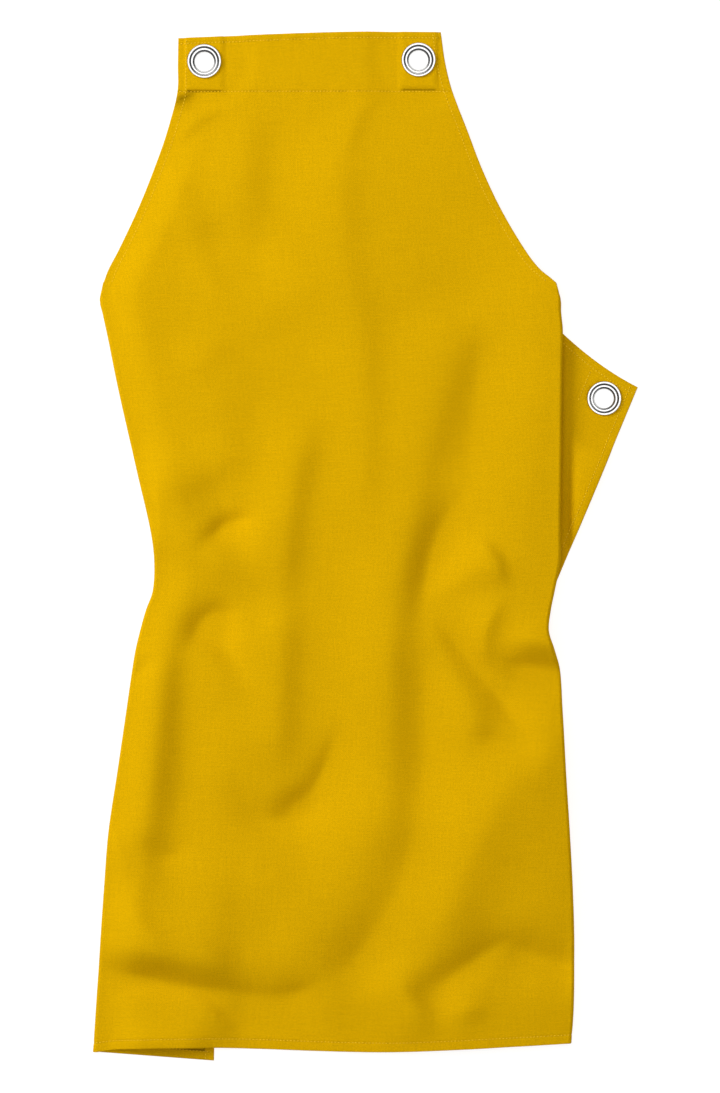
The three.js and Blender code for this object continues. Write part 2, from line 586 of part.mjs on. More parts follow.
// Eyelet: a flange with a flat crown, a groove and a raised lip round the hole, and a barrel below it.
function eyeletGeometry() {
  const foot = FLANGE_FOOT;
  const crown = STACK_TOP;
  return turned([
    [EYELET_HOLE, SEAT_GAP],
    [BARREL_RADIUS, SEAT_GAP],
    [BARREL_RADIUS, foot],
    [EYELET_RADIUS, foot],
    [EYELET_RADIUS - RIM_TAPER, foot + RIM_HEIGHT],
    [EYELET_RADIUS - CROWN_INSET, crown],
    [BARREL_RADIUS + GROOVE_OUTER, crown],
    [BARREL_RADIUS + GROOVE_MIDDLE, crown - GROOVE_DEPTH],
    [BARREL_RADIUS + GROOVE_INNER, crown],
    [EYELET_HOLE, crown - LIP_FALL],
  ]);
}

// Washer: a dished ring that the barrel is closed over.
function washerGeometry() {
  return turned([
    [CLOTH_HOLE, 0],
    [WASHER_RADIUS - WASHER_BEVEL_RUN, 0],
    [WASHER_RADIUS, WASHER_BEVEL],
    [WASHER_RADIUS, WASHER_THICK],
    [CLOTH_HOLE, WASHER_THICK],
  ]);
}

// Patch: a piece of canvas with the eyelet's hole, its long side towards the apron's edge.
function patchGeometry() {
  const half = PATCH_WIDTH / 2;
  const shape = new THREE.Shape([
    new THREE.Vector2(-half, -PATCH_FROM_EDGE),
    new THREE.Vector2(half, -PATCH_FROM_EDGE),
    new THREE.Vector2(half, PATCH_TOWARDS_EDGE),
    new THREE.Vector2(-half, PATCH_TOWARDS_EDGE),
  ]);
  const hole = new THREE.Path();
  hole.absarc(0, 0, CLOTH_HOLE, 0, 2 * Math.PI, true);
  shape.holes.push(hole);
  const settings = { depth: PATCH_THICK, bevelEnabled: false, curveSegments: ROUND_SIDES };
  return new THREE.ExtrudeGeometry(shape, settings).translate(0, 0, PATCH_FOOT);
}

// Eyelet, washer and patch at one corner, turned over where the cloth lies face down.
function eyeletSet({ name, at, out, faceDown }) {
  const set = new THREE.Group();
  set.add(named("eyelet_" + name, eyeletGeometry(), NICKEL));
  set.add(named("washer_" + name, washerGeometry(), NICKEL));
  set.add(named("patch_" + name, patchGeometry(), CANVAS));
  set.rotation.order = "ZXY";
  set.rotation.z = Math.atan2(-out.x, out.y);
  if (faceDown) set.rotation.y = Math.PI;
  set.position.set(at.x, at.y, faceDown ? STACK_TOP : 0);
  return set;
}

function named(name, geometry, material) {
  const mesh = new THREE.Mesh(geometry, material);
  mesh.name = name;
  return mesh;
}

const apron = new THREE.Group();
apron.add(named("apron_body", apronBody(), CANVAS));
for (const eyelet of EYELETS) apron.add(eyeletSet(eyelet));

export default apron;
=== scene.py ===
"""Looks of a canvas bib apron that lies on a pale floor with both its sides folded under it.

The scene is in metres. The tables and functions that lay the cloth work in millimetres, and what they
make is turned into metres when it becomes a mesh. +Y runs from the hem to the top of the bib, +Z is up.
"""

import json
import math

import bpy
import numpy as np
from bpy.props import FloatProperty, FloatVectorProperty, IntProperty, PointerProperty
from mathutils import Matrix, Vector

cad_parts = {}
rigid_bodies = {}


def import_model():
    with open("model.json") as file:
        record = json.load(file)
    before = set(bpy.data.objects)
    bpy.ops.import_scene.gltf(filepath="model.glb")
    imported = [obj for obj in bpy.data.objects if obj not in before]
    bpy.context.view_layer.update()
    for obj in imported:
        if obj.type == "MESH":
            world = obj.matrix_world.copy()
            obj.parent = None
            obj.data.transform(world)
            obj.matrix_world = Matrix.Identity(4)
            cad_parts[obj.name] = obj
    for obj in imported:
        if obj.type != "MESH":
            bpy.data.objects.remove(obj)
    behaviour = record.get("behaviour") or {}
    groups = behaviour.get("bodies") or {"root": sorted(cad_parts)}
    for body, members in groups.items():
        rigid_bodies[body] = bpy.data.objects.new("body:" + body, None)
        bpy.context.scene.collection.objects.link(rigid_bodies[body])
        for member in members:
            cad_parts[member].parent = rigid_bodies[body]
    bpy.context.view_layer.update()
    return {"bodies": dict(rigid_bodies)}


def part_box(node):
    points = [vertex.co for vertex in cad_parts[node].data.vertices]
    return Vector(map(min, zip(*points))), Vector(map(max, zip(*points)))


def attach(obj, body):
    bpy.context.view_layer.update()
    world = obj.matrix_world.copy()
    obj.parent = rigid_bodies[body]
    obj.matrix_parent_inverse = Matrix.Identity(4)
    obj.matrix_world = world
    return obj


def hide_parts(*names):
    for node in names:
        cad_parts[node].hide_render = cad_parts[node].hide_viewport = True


bl_info = {
    "name": "Folded canvas bib apron",
    "version": (1, 0, 0),
    "blender": (4, 5, 0),
    "location": "View3D > Sidebar > Apron",
    "description": "Lays a canvas bib apron with its seams, patches and eyelets on a pale floor",
    "category": "Object",
}

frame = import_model()
BODY = next(iter(frame["bodies"]))
MM = 0.001

# Edges along the apron, and the hems and band that finish them
HEM = -440.0
TOP = 450.0
FOLD_TOP = 232.0  # where each armhole edge turns under
BAND_FOOT = 398.5  # lower edge of the band turned over at the top of the bib
HEM_WIDTH = 9.0
HEM_STEP = 0.8
HEM_EXTRA = 0.7
BAND_EXTRA = 1.0

# Rolls of cloth at the side folds and the pleat
SIDE_FOLD_REACH = 2.6
PLEAT_FOLD_REACH = 2.5
FOLD_DROP = 10.0
DROP_FADE = 60.0

# Heights of the middle of each layer
PANEL_LEVEL = 0.5
FLAP_LEVEL = 1.2
PAD_LEVEL = 3.1  # cloth that an eyelet holds
PAD_LEVEL_FACE_DOWN = 2.0
PLEAT_OVER_FLAP = 2.5
FRONT_OVER_FLOOR = 0.5
FRONT_OVER_PANEL = 2.9
FRONT_OVER_PLEAT = 3.1
FRONT_OVER_EYELET = 6.4
CORNER_LIFT_LOW = 10.0
CORNER_LIFT_HIGH = 70.0

# How the front is lofted over what lies below it
LOFT = 9.0
BAND_LOFT = 3.4
BAND_LOFT_RUN = 90.0
LEFT_LOFT_LOSS = 6.0
RIGHT_LOFT_LOSS = 1.0
SIDE_LOFT_RUN = 36.0
PANEL_LOFT = 2.5
PANEL_LOFT_START = -85.0
PANEL_LOFT_RUN = 50.0
PLEAT_LOFT = 8.0
PLEAT_LOFT_REACH = 70.0
PLEAT_LOFT_RUN = 90.0
PLEAT_LOFT_TOP = 330.0
PLEAT_LOFT_FADE = 120.0
PANEL_HOLD_REACH = 28.0
PANEL_HOLD_RUN = 22.0
PLEAT_HOLD_REACH = 30.0
PLEAT_HOLD_RUN = 24.0
FOLD_TOP_FADE = 40.0
HEM_LOFT_LOSS = 5.5
HEM_LOFT_RUN = 60.0
SETTLE = 1.2

# Hidden left panel, pleat and flap, in plan
PANEL_CORNER = (-118.0, 178.0)
PANEL_HEM_CORNER = (-133.3, -452.3)
PANEL_BOW = -7.0
PLEAT_TOP = (155.0, 205.0)
PLEAT_FOOT = (46.0, -436.0)
FLAP_CORNER = (239.4, 140.0)
FLAP_FOOT_Y = -434.0
FLAP_SLOPE = 0.417
FLAP_BEND_Y = -34.0
FLAP_BEND = 0.000407
FLAP_BOW = -5.5
ARMHOLE_BOW_START = 0.7

# Corners with an eyelet: name, section of the cloth, way to the edge that its patch reaches for, face down
CORNERS = (
    ("bib_left", "front", (0.0, 1.0), False),
    ("bib_right", "front", (0.0, 1.0), False),
    ("side_right", "flap", (0.923, -0.385), False),
    ("side_left", "panel", (1.0, -0.024), True),
)
BIB_CORNERS = ("bib_left", "bib_right")
PAD_RADIUS = 34.0
PAD_FADE = 50.0
STACK_TOP = 5.1  # height in an eyelet's stack that comes to the floor when it is turned face down
CLOTH_HOLE = 10.0

# Outline of the front: height, left edge, right edge
OUTLINE = (
    (-440, -239.8, 180.8),
    (-408, -237.3, 182.6),
    (-356, -233.6, 183.3),
    (-303, -230, 181.8),
    (-250, -225.7, 179),
    (-197, -217.8, 175.6),
    (-144, -210, 172.9),
    (-109, -205, 171),
    (-91, -202, 165.9),
    (-74, -198, 160.6),
    (-56, -193, 162.4),
    (-39, -187, 165.9),
    (-12, -185.7, 171),
    (14, -188.8, 171.2),
    (67, -201, 172),
    (137, -217, 172.6),
    (190, -227.6, 173),
    (208, -231, 171.5),
    (222, -233.6, 170.9),
    (232, -229.8, 165.5),
    (243, -225.7, 152.7),
    (260, -217, 140),
    (296, -200, 119),
    (331, -186, 102.5),
    (366, -173.8, 89.3),
    (400, -165.4, 76.5),
    (425, -165, 70),
    (450, -164.6, 66.3),
)

# Edge lines across the apron: place, height
TOP_EDGE = ((-165, 447), (-22, 452.3), (66, 452.3))
HEM_EDGE = (
    (-240, -445),
    (-207, -440.5),
    (-163, -439),
    (-93, -441.8),
    (-5, -444),
    (83, -441),
    (181, -435.6),
)
EDGE_BOW_RUN = 52.0

# Folds of the front, each a ridge (or a trough, where its height is below zero) along a curve. They run
# upwards or to the right. Sharpness is 2 for a soft fold and falls towards 1 for a crease.
# name, start x, y, middle x, y, end x, y, left-hand width, right-hand width, height, sharpness
FOLDS = (
    ("left_roll_bib", -197, 130, -198, 240, -176, 350, 22, 26, 2, 2),
    ("left_roll_waist", -183, -22, -180, 34, -184, 92, 20, 46, 7, 1.3),
    ("left_roll_skirt", -206, -350, -188, -180, -180, -30, 30, 20, 7, 2),
    ("left_waist_fall", -121, 16, -128, 40, -140, 66, 36, 44, -5, 1.3),
    ("left_waist_dent", -142, 2, -121, 20, -95, 25, 8, 18, -10, 1.25),
    ("left_waist_lobe", -144, 2, -122, -14, -94, -40, 24, 14, 3, 1.6),
    ("left_waist_valley", -126, -14, -106, -44, -84, -76, 26, 16, -3, 1.6),
    ("left_low_dent", -155, -86, -137, -65, -112, -58, 14, 26, -14, 1.2),
    ("left_low_lobe", -136, -150, -136, -100, -128, -60, 20, 34, 2.5, 2),
    ("left_trough", -164, -270, -158, -170, -154, -70, 20, 30, -3.5, 2),
    ("left_trough_end", -196, -250, -178, -272, -154, -258, 11, 30, -5, 1.4),
    ("left_crease_low", -166, -366, -194, -330, -217, -297, 22, 8, 3.5, 1.4),
    ("left_crease_high", -204, -290, -213, -272, -221, -244, 10, 7, 3.5, 1.4),
    ("left_edge_tuck", -206, -118, -197, -109, -184, -96, 6, 8, -2.6, 1.6),
    ("bib_ridge", -104, 262, -108, 320, -104, 396, 24, 19, 2.2, 2),
    ("bib_trough", -84, 270, -76, 340, -58, 396, 20, 34, -1.8, 2),
    ("bib_dent", -152, 286, -120, 258, -66, 258, 24, 30, -3, 2),
    ("bib_diagonal", -116, 196, -82, 212, -30, 240, 30, 24, 2, 2),
    ("bib_crease", -164, 356, -146, 375, -122, 388, 16, 6, 2.6, 1.5),
    ("bib_left_crease", -128, 206, -152, 280, -176, 352, 14, 11, 1.2, 2),
    ("eyelet_mark", -160, 150, -145, 165, -126, 174, 18, 14, 1.8, 2),
    ("panel_edge_high", -92, -26, -112, 60, -140, 164, 18, 18, 0.8, 2),
    ("long_ridge_top", -20, 340, -8, 374, 10, 404, 20, 9, 2, 1.8),
    ("long_ridge_bib", -9, 180, -24, 280, -18, 372, 34, 18, 3, 2),
    ("long_ridge_waist", -12, -20, -2, 110, -14, 240, 32, 16, 3.4, 2),
    ("chest_trough", -6, 196, 44, 204, 114, 222, 26, 26, -2, 2),
    ("armhole_rise", 80, 130, 96, 250, 82, 352, 44, 60, -2.0, 2),
    ("main_ridge_chest", 30, 20, 58, 110, 100, 236, 40, 22, 4.4, 2),
    ("main_ridge_waist", 17, -130, 25, -40, 52, 74, 36, 20, 6.5, 2),
    ("main_ridge_skirt", 14, -290, 18, -175, 19, -60, 36, 22, 7.2, 2),
    ("main_ridge_tail", -90, -376, -16, -316, 20, -200, 46, 34, 7, 2),
    ("main_valley_tail", -46, -390, 14, -327, 46, -226, 24, 60, -5, 1.3),
    ("chest_valley", 92, 34, 94, 110, 105, 206, 24, 50, -4.4, 1.4),
    ("waist_valley", 48, -84, 61, 8, 104, 53, 14, 40, -5, 1.3),
    ("skirt_valley", 48, -260, 53, -160, 52, -60, 18, 50, -4, 1.6),
    ("waist_comma", 121, -36, 109, -7, 91, 8, 30, 9, 8.5, 1.25),
    ("waist_curl", 113, -106, 104, -80, 122, -42, 34, 10, 6.5, 1.3),
    ("right_pinch", 121, -98, 150, -109, 200, -111, 9, 32, -13, 1.15),
    ("right_pinch_brow", 124, -84, 150, -82, 186, -90, 22, 12, 8, 1.6),
    ("right_pinch_rise", 114, -150, 146, -151, 184, -140, 26, 30, 4, 2),
    ("skirt_wedge", 158, -190, 107, -121, 51, -51, 17, 34, -10, 1.2),
    ("skirt_wedge_back", 110, -180, 82, -122, 48, -45, 30, 20, 5.5, 1.4),
    ("skirt_wedge_foot", 92, -162, 120, -171, 156, -175, 12, 30, -7, 1.25),
    ("skirt_fan", 40, -390, 98, -258, 168, -122, 44, 36, 9.5, 1.7),
    ("skirt_fan_foot", 50, -404, 86, -369, 142, -335, 20, 40, -7.5, 1.25),
    ("right_foot", 122, -345, 155, -361, 196, -366, 18, 30, -11, 1.3),
    ("right_droop", 156, -390, 166, -260, 166, -110, 40, 26, 3, 2),
    ("hem_dent", 60, -432, 40, -400, 22, -360, 44, 17, 7, 1.35),
    ("hem_dent_valley", 42, -374, 58, -400, 78, -416, 34, 17, -6, 1.3),
    ("hem_dent_lip", 66, -402, 84, -407, 108, -402, 24, 12, 4.5, 1.3),
    ("left_hem_trough", -246, -367, -162, -387, -70, -400, 14, 20, -9.5, 1.1),
    ("left_hem_crease", -246, -363, -206, -381, -150, -389, 8, 18, -2, 1.05),
    ("panel_crest", -178, -385, -148, -391, -112, -406, 7, 15, -2, 1.05),
    ("left_hem_brow", -240, -344, -170, -354, -100, -370, 34, 18, 9.5, 2),
    ("left_hem_rise", -238, -401, -180, -404, -112, -426, 16, 34, 3, 1.8),
    ("left_hem_pinch", -216, -384, -206, -385, -196, -383, 5, 12, -3, 1.3),
    ("panel_pinch", -128, -406, -119, -408, -110, -404, 5, 14, -3.5, 1.3),
    ("middle_hem_trough", -130, -407, -90, -406, -38, -380, 15, 34, -10, 1.2),
    ("panel_mark", -114, -438, -142, -402, -180, -383, 11, 8, 3.5, 1.4),
    ("swag", -122, -194, -70, -239, -18, -144, 9, 40, -6, 1.3),
    ("swag_foot", -74, -216, -58, -236, -38, -216, 14, 30, -6.5, 1.2),
    ("panel_ridge_low", -80, -210, -77, -120, -73, -30, 30, 17, 6, 2),
    ("panel_ridge_high", -76, -70, -71, 20, -48, 130, 30, 17, 6, 2),
    ("skirt_soft", -165, -318, -115, -282, -55, -262, 34, 40, 3.5, 2),
    ("skirt_soft_foot", -150, -352, -105, -340, -60, -336, 30, 26, -2.5, 2),
    ("panel_fill", -92, -392, -92, -330, -90, -262, 16, 44, 3, 2),
    ("hem_arch", -222, -430, -178, -436, -130, -440, 18, 18, 9, 2),
)

# Small folds of the flap, with the same columns
FLAP_FOLDS = (
    ("flap_bulge", 174, -14, 202, 60, 222, 104, 32, 14, 7, 2),
    ("patch_pull", 178, 118, 190, 108, 206, 104, 6, 9, 1.0, 1.6),
    ("corner_pull", 212, 106, 222, 103, 232, 104, 4, 5, 0.8, 1.5),
)

# Small folds of the cloth that an eyelet and its patch hold flat
PAD_FOLDS = (
    ("band_notch", -174, 386, -162, 394, -144, 400, 3, 10, -2.2, 1.3),
)

# How a fold is laid, as a row of soft marks along its curve, and where the flap's folds start
FLAP_FOLD_CLEAR = 4.0  # the flap is flat under the front and this far beyond it
FLAP_FOLD_RUN = 10.0
CURVE_STEPS = 120  # of a fold's curve, before its marks are spaced along it
BRUSH_STEP = 6.0
BRUSH_LENGTH = 11.0
BRUSH_TAPER = 0.3
FEWEST_MARKS = 4
MARK_REACH = 7.0  # how far a mark still counts, as the exponent of its fall

# Mesh density: places in from a free edge, and about a seam, then the spacing elsewhere
EDGE_STOPS = np.array((0.0, 0.3, 0.8, 1.6, 3.0, 4.6, 6.0, 6.8, 7.4, 8.2, 9.0, 9.8, 11.0))
SEAM_STOPS = np.array((-4.0, -2.4, -1.2, -0.4, 0.4, 1.0, 1.6, 2.2, 3.0, 4.4))
ROW_STEP = 4.0
BIB_ROW_STEP = 3.2
FRONT_COLUMNS = 92
PANEL_COLUMNS = 8
PLEAT_COLUMNS = 7
FLAP_COLUMNS = 18
ROLL_STEPS = 9
BOTH_ENDS = (slice(None, -1), slice(1, None))  # all but the last of a grid's lines, and all but the first
LEAST = 1e-9  # keeps a length that is divided by above zero

# Seams: where they run, and how they draw the cloth in. A depth is a share of a whole groove and of the
# shade painted into it.
BAND_SEAM = 1.6  # above the band's lower edge
SEAM_STEP = 2.0
SEAM_END = 3.0  # from a free edge to the end of a seam that meets it
SIDE_SEAM_END = 2.0
ARMHOLE_SEAM_FOOT = 1.0
GROOVE_WIDTH = 0.9
SEAM_SHADE = 0.45  # painted shade in a seam, as a share of that in an open slit
TOP_SEAM_DEPTH = 1.0
HEM_SEAM_DEPTH = 0.6
SIDE_SEAM_DEPTH = 0.15
NOTCH_DEPTH = 2.0
PUCKER_WIDTH = 6.0
PUCKER_SHARE = 0.6  # of the shorter of the two waves that make the puckers
PUCKER_DRIFT = 1.7  # how far the shorter wave wanders, in radians
PUCKER_DRIFT_LENGTH = 3.1  # in lengths of a pucker
PUCKER_LONG_LENGTH = 1.62
PUCKER_LONG_START = 2.0
PAD_CALM = 0.5
EDGE_ROUND = 0.9
EDGE_LEAST = 0.12
LENGTHS = (
    "thickness",
    "seam_inset",
    "hem_seam_inset",
    "top_seam_inset",
    "groove_depth",
    "pucker_height",
    "pucker_length",
    "patch_step",
)

# Patch behind an eyelet, and the cloth that lies over it
PATCH_HALF = 15.5
PATCH_TOWARDS_EDGE = 20.7
PATCH_FROM_EDGE = 26.0
PATCH_FOOT = 1.3
PATCH_TOP = 2.3
PATCH_BEVEL = 0.04
PATCH_HOLE = 9.2
PATCH_SLOPE = 1.4
PATCH_SLIT = 1.3  # the cloth dips along the patch's lower edge
PATCH_SLIT_WIDTH = 0.8
PATCH_SEAM = 47.6  # stitches along the inner edge of the flap's patch, from the side edge
PATCH_SEAM_ROWS = (191.0, 220.0)
PATCH_SEGMENTS = 128

# Share of the way from the hole to the border, and height, of a patch's section
PATCH_PROFILE = (
    (0.0, PATCH_FOOT),
    (0.5, PATCH_FOOT),
    (0.75, PATCH_FOOT),
    (1.0, PATCH_FOOT + PATCH_BEVEL),
    (1.0, PATCH_TOP - PATCH_BEVEL),
    (0.75, PATCH_TOP),
    (0.5, PATCH_TOP),
    (0.0, PATCH_TOP),
)

# Radius and height of an eyelet's section: barrel, underside of the flange, crown, two steps to the hole
EYELET_PROFILE = (
    (8.3, 0.3), (8.95, 0.3), (8.95, 2.3), (9.3, 2.6), (9.85, 3.15), (9.95, 3.65),
    (10.4, 3.75), (14.9, 3.75), (15.1, 4.3),
    (14.95, 5.1), (14.6, 5.42), (14.1, 5.5), (13.5, 5.48), (13.15, 5.4), (12.95, 5.27),
    (12.8, 5.145), (11.7, 4.225), (11.55, 4.1),
    (11.3, 4.02), (10.95, 4.06), (10.6, 4.08), (10.3, 4.05), (10.05, 3.94),
    (9.9, 3.815), (8.75, 2.855), (8.6, 2.73), (8.4, 2.4), (8.3, 1.2),
)
WASHER_PROFILE = ((9.2, 0.15), (10.4, 0.0), (13.4, 0.0), (14.1, 0.45), (14.1, 1.0), (11.5, 1.0), (9.2, 1.0))
RING_SEGMENTS = 96
CORNER_CUT = 0.25  # share of a side that is cut off at each end when a section is rounded
CORNER_CUTS = 2

# Stitches
STITCH_INPUTS = ("Pitch", "Length", "Width", "Height", "Slant", "Seed")
STITCH_LIFT = 0.08
STITCH_SEGMENTS = 6
STITCH_RINGS = 4
SLANT_SPREAD = 0.3  # of the slant, either way

# Canvas: how much the painted shade in its creases and each unevenness of its threads and dye shows, and
# their sizes in metres
CREASE_SHADE = 0.6
SLUB_WIDTH = 0.0016
SLUB_STRETCH = 0.06  # its width as a share of its length
GRAIN_WIDTH = 0.0013
DYE_PATCH = 0.09
SLUB_TINT = 0.15
GRAIN_TINT = 0.75
DYE_TINT = 0.06
WEAVE_TINT = 0.05
NOISE_MIDDLE = 0.5
SLUB_BUMP = 0.8
WEAVE_STRENGTH = 0.25
WEAVE_RELIEF = 0.25  # of the thread spacing

# Thread, plating and floor: sizes of their patterns in metres
PLY_WIDTH = 0.0005
PLY_RELIEF = 0.0001
DULL_SPOT = 0.004
RUBBING_MARK = 0.0006
RUBBING_RELIEF = 0.0002
ACRYLIC_CLOUD = 0.3

# Stage, in metres apart from the floor's level
FLOOR_HALF = 6.0
FLOOR_LEVEL = -0.6
KEY_PLACE = (-2.2, 1.17, 1.65)
KEY_SIZE = 1.5
KEY_COLOUR = (0.97, 1.0, 0.93)
FILL_PLACE = (0.2, 0.2, 3.4)
FILL_SIZE = 4.0
FILL_COLOUR = (1.0, 1.0, 1.0)
ROOM_COLOUR = "F4F6FA"
WALL_TOP = 0.3  # of the way up, from the horizon to overhead
CEILING_EDGE = 0.95
FARTHEST = 100


def srgb(hex_colour):
    """The linear colour of an sRGB hex value."""
    parts = [int(hex_colour[i:i + 2], 16) / 255 for i in (0, 2, 4)]
    return tuple(p / 12.92 if p <= 0.04045 else ((p + 0.055) / 1.055) ** 2.4 for p in parts)


def mix(a, b, t):
    return a + (b - a) * t


def ease(t):
    s = np.clip(t, 0.0, 1.0)
    return s * s * (3 - 2 * s)


def bell(away, width):
    """1 on a line, falling away softly beside it."""
    return np.exp(-((away / width) ** 2))


def read_table(table, column, at):
    """A smooth curve through the rows of a table, read at values of its first column."""
    rows = np.array(table, float)
    keys = rows[:, 0]
    values = rows[:, column]
    order = np.arange(len(rows))
    ahead = np.minimum(order + 1, len(rows) - 1)
    behind = np.maximum(order - 1, 0)
    slopes = (values[ahead] - values[behind]) / (keys[ahead] - keys[behind])
    i = np.clip(np.searchsorted(keys, at) - 1, 0, len(rows) - 2)
    run = keys[i + 1] - keys[i]
    t = np.clip((at - keys[i]) / run, 0, 1)
    out = t * (1 - t) ** 2 * run * slopes[i]
    back = t * t * (1 - t) * run * slopes[i + 1]
    return mix(values[i], values[i + 1], ease(t)) + out - back


def brush_marks(fold):
    """The marks that make up one fold: place, direction and height."""
    _, x0, y0, xm, ym, x1, y1, _, _, height, _ = fold
    start, end = np.array((x0, y0), float), np.array((x1, y1), float)
    control = 2 * np.array((xm, ym), float) - (start + end) / 2
    t = np.linspace(0, 1, CURVE_STEPS + 1)[:, None]
    curve = (1 - t) ** 2 * start + 2 * t * (1 - t) * control + t * t * end
    ways = (1 - t) * (control - start) + t * (end - control)
    along = np.concatenate([[0], np.cumsum(np.linalg.norm(np.diff(curve, axis=0), axis=1))])
    count = max(FEWEST_MARKS, math.ceil(along[-1] / BRUSH_STEP))
    at = np.linspace(0, along[-1], count + 1)
    points = np.stack([np.interp(at, along, curve[:, k]) for k in (0, 1)], axis=1)
    turned = np.stack([np.interp(at, along, ways[:, k]) for k in (0, 1)], axis=1)
    turned /= np.linalg.norm(turned, axis=1, keepdims=True)
    share = at / along[-1]
    fade = ease(share / BRUSH_TAPER) * ease((1 - share) / BRUSH_TAPER)
    heights = height * fade * along[-1] / count / (BRUSH_LENGTH * math.sqrt(math.pi))
    return zip(points, turned, heights)


def fold_height(folds, x, y):
    """The sum of all the folds' heights at places of the cloth."""
    total = np.zeros(np.shape(x))
    for fold in folds:
        left, right, _, sharpness = fold[7:]
        reach = max(left, right, BRUSH_LENGTH) * MARK_REACH ** (1 / sharpness)
        for (px, py), (wx, wy), height in brush_marks(fold):
            near = (abs(x - px) < reach) & (abs(y - py) < reach)
            dx, dy = x[near] - px, y[near] - py
            along = dx * wx + dy * wy
            across = dx * wy - dy * wx
            width = np.where(across > 0, right, left)
            aside = (abs(across) / width) ** sharpness
            total[near] += height * np.exp(-((along / BRUSH_LENGTH) ** 2) - aside)
    return total


def panel_edge(y):
    share = (y - PANEL_HEM_CORNER[1]) / (PANEL_CORNER[1] - PANEL_HEM_CORNER[1])
    return mix(PANEL_HEM_CORNER[0], PANEL_CORNER[0], share)


def pleat_line(y):
    share = (y - PLEAT_FOOT[1]) / (PLEAT_TOP[1] - PLEAT_FOOT[1])
    return mix(PLEAT_FOOT[0], PLEAT_TOP[0], share)


def flap_edge(y):
    bend = np.maximum(FLAP_BEND_Y - y, 0)
    return FLAP_CORNER[0] - FLAP_SLOPE * (FLAP_CORNER[1] - y) + FLAP_BEND * bend * bend


def eyelet_middle(name):
    """Middle of an eyelet in plan, in millimetres, from the solid that it stands for."""
    low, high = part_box("eyelet_" + name)
    return (low.x + high.x) / 2 / MM, (low.y + high.y) / 2 / MM


def pad_share(name, x, y):
    """1 on the flat cloth round an eyelet, 0 where the cloth is loose."""
    middle = eyelet_middle(name)
    away = np.hypot(x - middle[0], y - middle[1])
    return 1 - ease((away - PAD_RADIUS) / (PAD_FADE - PAD_RADIUS))


def patch_slit(name, x, y):
    """1 in the slit along the lower edge of a bib patch, 0 away from it."""
    mx, my = eyelet_middle(name)
    across = ease((PATCH_HALF - abs(x - mx)) / PATCH_SLOPE)
    return across * bell(y - my + PATCH_FROM_EDGE, PATCH_SLIT_WIDTH)


def corner_lift(y):
    return ease((y - CORNER_LIFT_LOW) / (CORNER_LIFT_HIGH - CORNER_LIFT_LOW))


def panel_level(x, y):
    return mix(PANEL_LEVEL, PAD_LEVEL_FACE_DOWN, corner_lift(y))


def pleat_level(x, y):
    return mix(FLAP_LEVEL, PAD_LEVEL, corner_lift(y)) + PLEAT_OVER_FLAP


def flap_level(x, y):
    clear = x - read_table(OUTLINE, 2, y) - FLAP_FOLD_CLEAR
    loose = ease(clear / FLAP_FOLD_RUN) * (1 - pad_share("side_right", x, y))
    return mix(FLAP_LEVEL, PAD_LEVEL, corner_lift(y)) + loose * fold_height(FLAP_FOLDS, x, y)


def front_level(x, y):
    """Height of the middle of the front's cloth: lofted over what lies below it, with its folds."""
    below_fold_top = ease((FOLD_TOP + FOLD_TOP_FADE - y) / FOLD_TOP_FADE)
    over_panel = ease((panel_edge(y) + PANEL_HOLD_REACH - x) / PANEL_HOLD_RUN) * below_fold_top
    over_pleat = ease((x - pleat_line(y) + PLEAT_HOLD_REACH) / PLEAT_HOLD_RUN) * below_fold_top
    support = FRONT_OVER_FLOOR + HEM_EXTRA * ease((HEM + 2 * HEM_WIDTH - y) / HEM_WIDTH)
    support = mix(support, panel_level(x, y) + FRONT_OVER_PANEL, over_panel)
    support = mix(support, pleat_level(x, y) + FRONT_OVER_PLEAT, over_pleat)
    support = np.maximum(support, FRONT_OVER_EYELET * pad_share("side_left", x, y))
    panel_rise = PANEL_LOFT * ease((PANEL_LOFT_START - x) / PANEL_LOFT_RUN) * below_fold_top
    towards_pleat = ease((x - pleat_line(y) + PLEAT_LOFT_REACH) / PLEAT_LOFT_RUN)
    pleat_rise = PLEAT_LOFT * towards_pleat * ease((PLEAT_LOFT_TOP - y) / PLEAT_LOFT_FADE)
    hem_loss = HEM_LOFT_LOSS * ease((HEM + HEM_LOFT_RUN - y) / HEM_LOFT_RUN)
    side_loss = LEFT_LOFT_LOSS * (1 - ease((x - read_table(OUTLINE, 1, y)) / SIDE_LOFT_RUN))
    side_loss += RIGHT_LOFT_LOSS * (1 - ease((read_table(OUTLINE, 2, y) - x) / SIDE_LOFT_RUN))
    to_band = ease((y - BAND_FOOT + BAND_LOFT_RUN) / BAND_LOFT_RUN)
    loft = mix(LOFT - side_loss, BAND_LOFT, to_band)
    loose = loft + panel_rise + pleat_rise - hem_loss + fold_height(FOLDS, x, y)
    level = support + SETTLE * np.logaddexp(0, (loose - support) / SETTLE)
    for name in BIB_CORNERS:
        level = mix(level, PAD_LEVEL, pad_share(name, x, y))
    return level


def row_height(x, y):
    """Where a row of the cloth runs: rows near the hem or the top follow the bow of that edge."""
    hem_bow = read_table(HEM_EDGE, 1, x) - HEM
    top_bow = read_table(TOP_EDGE, 1, x) - TOP
    near_hem = 1 - ease((y - HEM) / EDGE_BOW_RUN)
    near_top = 1 - ease((TOP - y) / EDGE_BOW_RUN)
    return y + hem_bow * near_hem + top_bow * near_top


def spaced(low, high, step):
    """Places between two others, without them, about a step apart."""
    return np.linspace(low, high, max(2, round((high - low) / step)) + 1)[1:-1]


